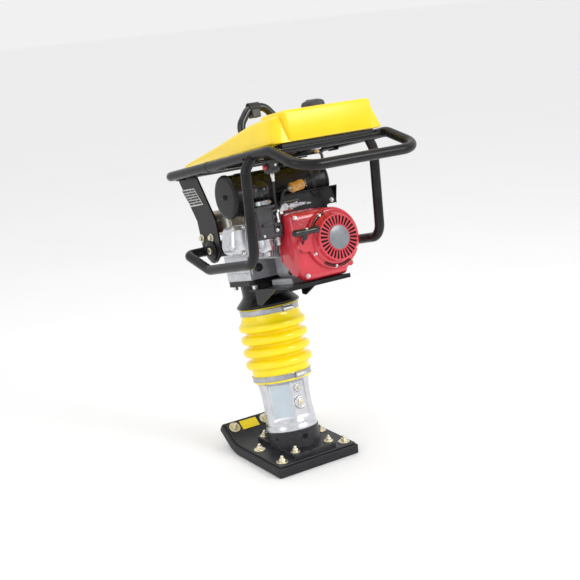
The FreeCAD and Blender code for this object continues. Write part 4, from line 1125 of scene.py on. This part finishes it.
def make_exhaust():
    bm = bmesh.new()
    add_box(bm, (-118, -61, 705), (55, 61, 775))
    piece("muffler_can", bm, HOT, "machine", bevel=15, segments=6, replaces=["muffler"])
    bm = bmesh.new()
    for x in (-104, 40):
        add_box(bm, (x - 2, -63, 703), (x + 2, 63, 777))
    piece("muffler_seams", bm, HOT, "machine", bevel=14, segments=6)
    bm = bmesh.new()
    add_rod(bm, 15, (-60, -101, 735), (-60, -58, 742), 32, 1)
    add_lathe(bm, [(15, 0), (24, 0.4), (24, 6), (15, 6.6)], (-60, -100, 735), FRONT, 32)
    route = rounded_route([(-100, 20, 758), (-126, 20, 760), (-128, 52, 762)], 20, 8)
    add_tube(bm, route, 13, 28)
    piece("muffler_pipe", bm, HOT, "machine", smooth=45)
    bm = bmesh.new()
    add_box(bm, (-124, -30, 712), (-119, 30, 744))
    add_box(bm, (-132, 6, 706), (-118, 40, 724))
    piece("muffler_stay", bm, RUST, "machine", bevel=1.5)
    make_heat_shield()


def make_heat_shield():
    bm = bmesh.new()
    low, high = corners_of("heat_shield")
    add_box(bm, (low.x, -216, 735), (high.x, -213, high.z))
    add_box(bm, (low.x, -231.5, high.z - 3), (high.x, -213, high.z))
    add_box(bm, (low.x, -208, 712), (140, -205, 735))
    add_box(bm, (low.x, -216, 733), (140, -205, 736))
    add_prism(bm,
              [(high.x - 2.5, -213, 732), (high.x - 2.5, -231.5, high.z - 2), (high.x - 2.5, -213, high.z)],
              (2.5, 0, 0))
    add_prism(bm, [(84, -216.2, 782), (116, -216.2, 782), (100, -216.2, 762)], (0, -3.0, 0))
    piece("heat_shield_sheet", bm, PAINT, "machine", bevel=0.9, replaces=["heat_shield"])
    bm = bmesh.new()
    for x in (10, 152):
        add_hex_bolt(bm, (x, -216, 745), REAR, 9, 4, 7)
    piece("shield_bolts", bm, BOLT, "machine", smooth=30)


# ---- handle frame -------------------------------------------------------------------------------
def add_weld(bm, centre, normal, radius, bead=3.0):
    """Rippled weld bead round a tube."""
    turn = Matrix.Translation(Vector(centre)) @ basis(normal)
    rows = []
    for i in range(72):
        a = 2 * math.pi * i / 72
        ripple = bead * (0.85 + 0.15 * math.sin(a * 18))
        row = []
        for k in range(8):
            b = 2 * math.pi * k / 8
            r = radius + ripple * 0.45 * math.cos(b)
            row.append(bm.verts.new(turn @ Vector((r * math.cos(a), r * math.sin(a), ripple * math.sin(b)))))
        rows.append(row)
    add_skin(bm, rows, ring=True)


PIVOT_U = 664.0             # height of the handle's rocking pivot up the leg
PLATE_FACE = 153.0          # outside of a side plate
PIVOT_REACH = 3.0           # a plate bolt nearer than this to the leg's line is the pivot's own


def make_frame():
    for node in ("frame_front_loop", "frame_rear_loop", "guard_left", "guard_right", "side_plates",
                 "tank_bars"):
        dress(node, PAINT)
    low, high = corners_of("frame_front_loop")
    rail_x = high.x - 14
    rail_u = (low.z + high.z) / 2
    weld_f = low.y
    bm = bmesh.new()
    for side in (-1, 1):
        add_weld(bm, (side * rail_x, weld_f, rail_u), FRONT, 14)
        add_weld(bm, (side * (rail_x + 13), -388, rail_u - 8), (side * 0.6, 0, -1), 14, 2.6)
        add_weld(bm, (side * 155, 46, PIVOT_U), RIGHT, 14, 2.8)
        for f in (-470, -40):
            add_weld(bm, (side * (rail_x - 14), f, rail_u - 1.5), RIGHT, 11, 2.2)
    piece("weld_beads", bm, PAINT, "handle", smooth=70)
    bm = bmesh.new()
    for low, high in islands_of("plate_bolts", TO_LEG):
        middle = (low + high) / 2
        side = -1 if middle.x < 0 else 1
        seat = side * (PLATE_FACE + 0.2)
        if abs(middle.y) < PIVOT_REACH:
            add_hex_bolt(bm, (seat, 0, PIVOT_U), (side, 0, 0), 19, 8, 15)
        else:
            add_hex_bolt(bm, (seat, middle.y, middle.z), (side, 0, 0), 15, 7, 12)
    piece("side_plate_bolts", bm, ZINC, "handle", replaces=["plate_bolts"], smooth=30)
    bm = bmesh.new()
    for side in (-1, 1):
        add_lathe(bm, [(30, 0), (31, 1), (31, 4), (27, 6), (22, 6.6), (18, 6.6)],
                  (side * PLATE_FACE, 0, PIVOT_U), (side, 0, 0), 64)
        for f in (-240, -70, 60):
            add_box(bm, (side * 176 - 12, f - 10, rail_u - 18), (side * 176 + 12, f + 10, rail_u - 13))
    piece("frame_tabs", bm, PAINT, "handle", bevel=1.5)
    make_data_plate()


def make_data_plate():
    """Blank data plate: a light frame with rows of plain bars."""
    corners = [Vector((-PLATE_FACE, f, u)) for f, u in ((124, 858), (31, 856), (-10, 800), (82, 800))]

    def at(s, t, lift):
        a = corners[0].lerp(corners[1], s)
        b = corners[3].lerp(corners[2], s)
        return a.lerp(b, t) + Vector((-lift, 0, 0))

    def patch(bm, s0, s1, t0, t1, low, high):
        outline = [at(s0, t0, low), at(s1, t0, low), at(s1, t1, low), at(s0, t1, low)]
        add_prism(bm, outline, (low - high, 0, 0))

    bm = bmesh.new()
    patch(bm, 0.06, 0.94, 0.03, 0.97, 0.1, 0.8)
    piece("data_plate", bm, FRAMEPRINT, "handle", bevel=0.2)
    bm = bmesh.new()
    for row in range(6):
        t = 0.09 + 0.142 * row
        for s0, s1 in ((0.10, 0.36), (0.40, 0.90)) if row % 2 else ((0.10, 0.62), (0.66, 0.90)):
            patch(bm, s0, s1, t, t + 0.105, 0.8, 1.1)
    piece("data_plate_fields", bm, INK, "handle")


# ---- tank, cap, hoop and controls -----------------------------------------------------------------
TANK_BOX = corners_of("fuel_tank")
HOOP_F = -150.0
HOOP_TOP = 1047.0


def tank_half(share):
    """Half widths of the tank's low and high edges, and its crown, from tip to rear."""
    low = 128 + 43 * min(1.0, share / 0.82) + 10 * max(0.0, share - 0.82) / 0.18
    high = 115 + 45 * min(1.0, share / 0.82) + 6 * max(0.0, share - 0.82) / 0.18
    crown = 929 + 58 * min(1.0, share / 0.79) ** 0.96 + 2.0 * max(0.0, share - 0.79) / 0.21
    return low, high, crown


def tank_section(share, f, shrink, rake):
    low, high, crown = tank_half(share)
    base = TANK_BOX[0].z
    low -= shrink
    high -= shrink
    soft = min(17.0, (crown - base) * 0.45)
    points = [(low - 5, base), (low - 1.5, base + 1.2), (low, base + 4)]
    points.append((low + (high - low) * 0.45, base + (crown - base - soft) * 0.5))
    for i in range(7):
        a = math.radians(90 * i / 6)
        points.append((high - soft + soft * math.cos(a), crown - soft + soft * math.sin(a)))
    points.append((high * 0.45, crown + 1.0))
    right = [(x, f + rake * (u - base) / 70, u) for x, u in points]
    left = [(-x, y, u) for x, y, u in reversed(right)]
    return right + [(0, f + rake * (crown - base) / 70, crown + 1.4)] + left


def make_tank():
    bm = bmesh.new()
    front, rear = TANK_BOX[1].y, -500.0
    corner = 28.0
    stations = [(0.0, 4.0), (0.004, 1.2), (0.012, 0.0)]
    stations += [(0.05 + 0.05 * i, 0.0) for i in range(18)]
    for i in range(1, 10):
        a = math.radians(10 * i)
        stations.append((1.0 - corner / (front - rear) * (1 - math.sin(a)), corner * (1 - math.cos(a))))
    rows = []
    for share, shrink in stations:
        f = front + (rear - front) * share
        rake = 12 * max(0.0, min(1.0, (share - 0.4) / 0.45))
        rows.append([bm.verts.new(p) for p in tank_section(share, f, shrink, rake)])
    add_skin(bm, rows)
    piece("fuel_tank_body", bm, TANK, "handle", replaces=["fuel_tank"], smooth=40)
    make_tank_block()


def make_tank_block():
    """Raised block over the tank's rear, with its seats and the tray below."""
    bm = bmesh.new()
    base = TANK_BOX[0].z
    top = 999.0
    rows = []
    for u, grow in ((base + 0.5, -3.0), (base + 4, 0), (960, 1.5), (top - 10, 2.5)):
        rows.append(tank_block_row(bm, u, grow))
    for i in range(1, 6):
        a = math.radians(18 * i)
        rows.append(tank_block_row(bm, top - 10 + 10 * math.sin(a), 2.5 - 10 * (1 - math.cos(a))))
    add_skin(bm, rows)
    piece("fuel_tank_block", bm, TANK, "handle", smooth=50)
    bm = bmesh.new()
    for x in (-62, 62):
        add_lathe(bm, [(14, -4), (24, -4), (24, 0), (21, 3), (16, 4), (14, 4)], (x, -150, 968), UP, 36)
    add_lathe(bm, [(20, 0), (36, 0), (36, 2), (34, 3.4), (20, 3.6)], (0, -440, top - 1), UP, 48)
    piece("tank_seats", bm, TANK, "handle", smooth=50)
    bm = bmesh.new()
    add_box(bm, (-150, -486, 903), (150, -440, 915))
    add_box(bm, (-150, -60, 893), (150, -40, 915))
    piece("tank_tray", bm, PAINT, "handle", bevel=3)


def tank_block_row(bm, u, grow):
    """One level of the raised block at the tank's rear, with rounded corners."""
    half = 134 + grow + (u - 917) * 0.06
    front, rear = -384 + grow * 0.5, -505.4 - min(grow, 2.5)
    points = []
    for cx, cy, start in ((half, front, 0), (-half, front, 90), (-half, rear, 180), (half, rear, 270)):
        for i in range(7):
            a = math.radians(start + 90 * i / 6)
            r = 14 if cy == front else 9
            x0 = cx - math.copysign(r, cx)
            y0 = cy - r if cy == front else cy + r
            points.append(bm.verts.new((x0 + r * math.cos(a), y0 + r * math.sin(a), u)))
    return points


def make_cap():
    bm = bmesh.new()
    place = centre_of("fuel_cap")

    def grip(angle, radius, height):
        return radius * (1 + 0.022 * math.cos(angle * 24)) if radius > 24 else radius

    profile = [(24, 0), (31, 0.5), (31.5, 4), (31.2, 12), (30, 16), (27, 19.5), (22, 22), (12, 23.5), (1, 24)]
    foot = (place.x, place.y, corners_of("fuel_cap")[0].z + 1)
    add_lathe(bm, profile, foot, UP, 144, grip)
    piece("fuel_cap_knob", bm, GREYMOULD, "cap", replaces=["fuel_cap"], smooth=50)
    bm = bmesh.new()
    add_box(bm, (place.x - 19, place.y - 3.5, 1015), (place.x + 19, place.y + 3.5, 1021.5))
    piece("fuel_cap_rib", bm, GREYMOULD, "cap", bevel=2.5)


def make_hoop():
    bm = bmesh.new()
    corners = ((-62, 893), (-62, 1004), (-26, HOOP_TOP), (26, HOOP_TOP), (62, 1004), (62, 893))
    route = rounded_route([(x, HOOP_F, u) for x, u in corners], 38, 12)
    add_tube(bm, route, 12, 28)
    piece("lifting_hoop_bar", bm, RUBBER, "handle", replaces=["lifting_hoop"], smooth=60)
    bm = bmesh.new()
    add_box(bm, (-24, -164, 1018), (4, -136, 1050))
    piece("hoop_clamp", bm, GREYMOULD, "handle", bevel=3)
    bm = bmesh.new()
    add_lathe(bm, [(12.2, 0), (15.3, 0.8), (15.3, 34), (12.2, 35)], (-28, HOOP_F, HOOP_TOP), RIGHT, 48,
              ring=True)
    piece("hoop_sleeve", bm, DULL, "handle", smooth=40)


def make_controls():
    bm = bmesh.new()
    add_box(bm, (-126, -374, 852), (-100, -334, 884))
    add_box(bm, (-122, -371, 848), (-104, -337, 856))
    add_lathe(bm, [(7.4, -2), (10, -2), (10, 3), (9.4, 3.8), (7.4, 3.8)], (-126, -352, 866), LEFT, 32,
              ring=True)
    piece("control_housing", bm, GREYMOULD, "handle", bevel=3.5, replaces=["control_block"])
    bm = bmesh.new()
    add_box(bm, (corners_of("control_block")[0].x + 8, -366, 884), (-100, -342, 888))
    piece("control_strap", bm, PAINT, "handle", bevel=1)
    bm = bmesh.new()
    add_lathe(bm, [(5, 0), (5.5, 1), (5.5, 12), (4.2, 14), (4.2, 22), (3.2, 24)], (-112, -350, 850), DOWN, 24)
    add_hex_bolt(bm, (-113, -374.5, 868), REAR, 8, 3)
    add_hex_bolt(bm, (-140, -354, 888), UP, 10, 5, 8)
    piece("control_fittings", bm, BOLT, "handle", smooth=35)
    bm = bmesh.new()
    add_lathe(bm, [(9, 0), (9, 5), (7.5, 6.6), (2, 7)], (-99.6, -354, 868), RIGHT, 28)
    add_prism(bm, [(-98, -352, 863), (-98, -352, 873), (-98, -412, 870), (-98, -412, 862)], (4.4, 0, 0))
    add_lathe(bm, [(3, 0), (6, 1.5), (6.2, 8), (5.2, 11), (6.2, 14), (6, 20.5), (3, 22)],
              (-106, -414, 866), RIGHT, 24)
    piece("throttle_arm", bm, MOULD, "throttle", bevel=0.8, replaces=["throttle_lever"],
          smooth=40)
    bm = bmesh.new()
    add_lathe(bm, [(7, 0), (7, 5), (6.2, 6.4), (4, 7.3), (1, 7.5)], (-129.5, -352, 866), LEFT, 32)
    piece("stop_cap", bm, STOP, "stop", replaces=["stop_button"], smooth=40)


def make_dipstick():
    bm = bmesh.new()

    def lobed(angle, radius, height):
        return radius * (1 + 0.05 * math.cos(angle * 10)) if radius > 12.5 else radius

    profile = [(12, -14), (12, 0), (13.4, 0.5), (13.4, 4), (12, 5.6), (6, 6)]
    add_lathe(bm, profile, (130, -205, 575), REAR, 80, lobed)
    piece("dipstick_knob", bm, MOULD, "dipstick", replaces=["oil_dipstick"], smooth=50)


def main():
    make_shoe()
    make_leg()
    make_bellows()
    make_clamp("clamp_lower", 254.0, "foot")
    make_clamp("clamp_upper", 456.0, "machine")
    make_case()
    make_cylinder()
    make_fan_cover()
    make_recoil()
    make_carburettor()
    make_linkage()
    make_canister()
    make_fuel_line()
    make_exhaust()
    make_frame()
    make_tank()
    make_cap()
    make_hoop()
    make_controls()
    make_dipstick()


main()
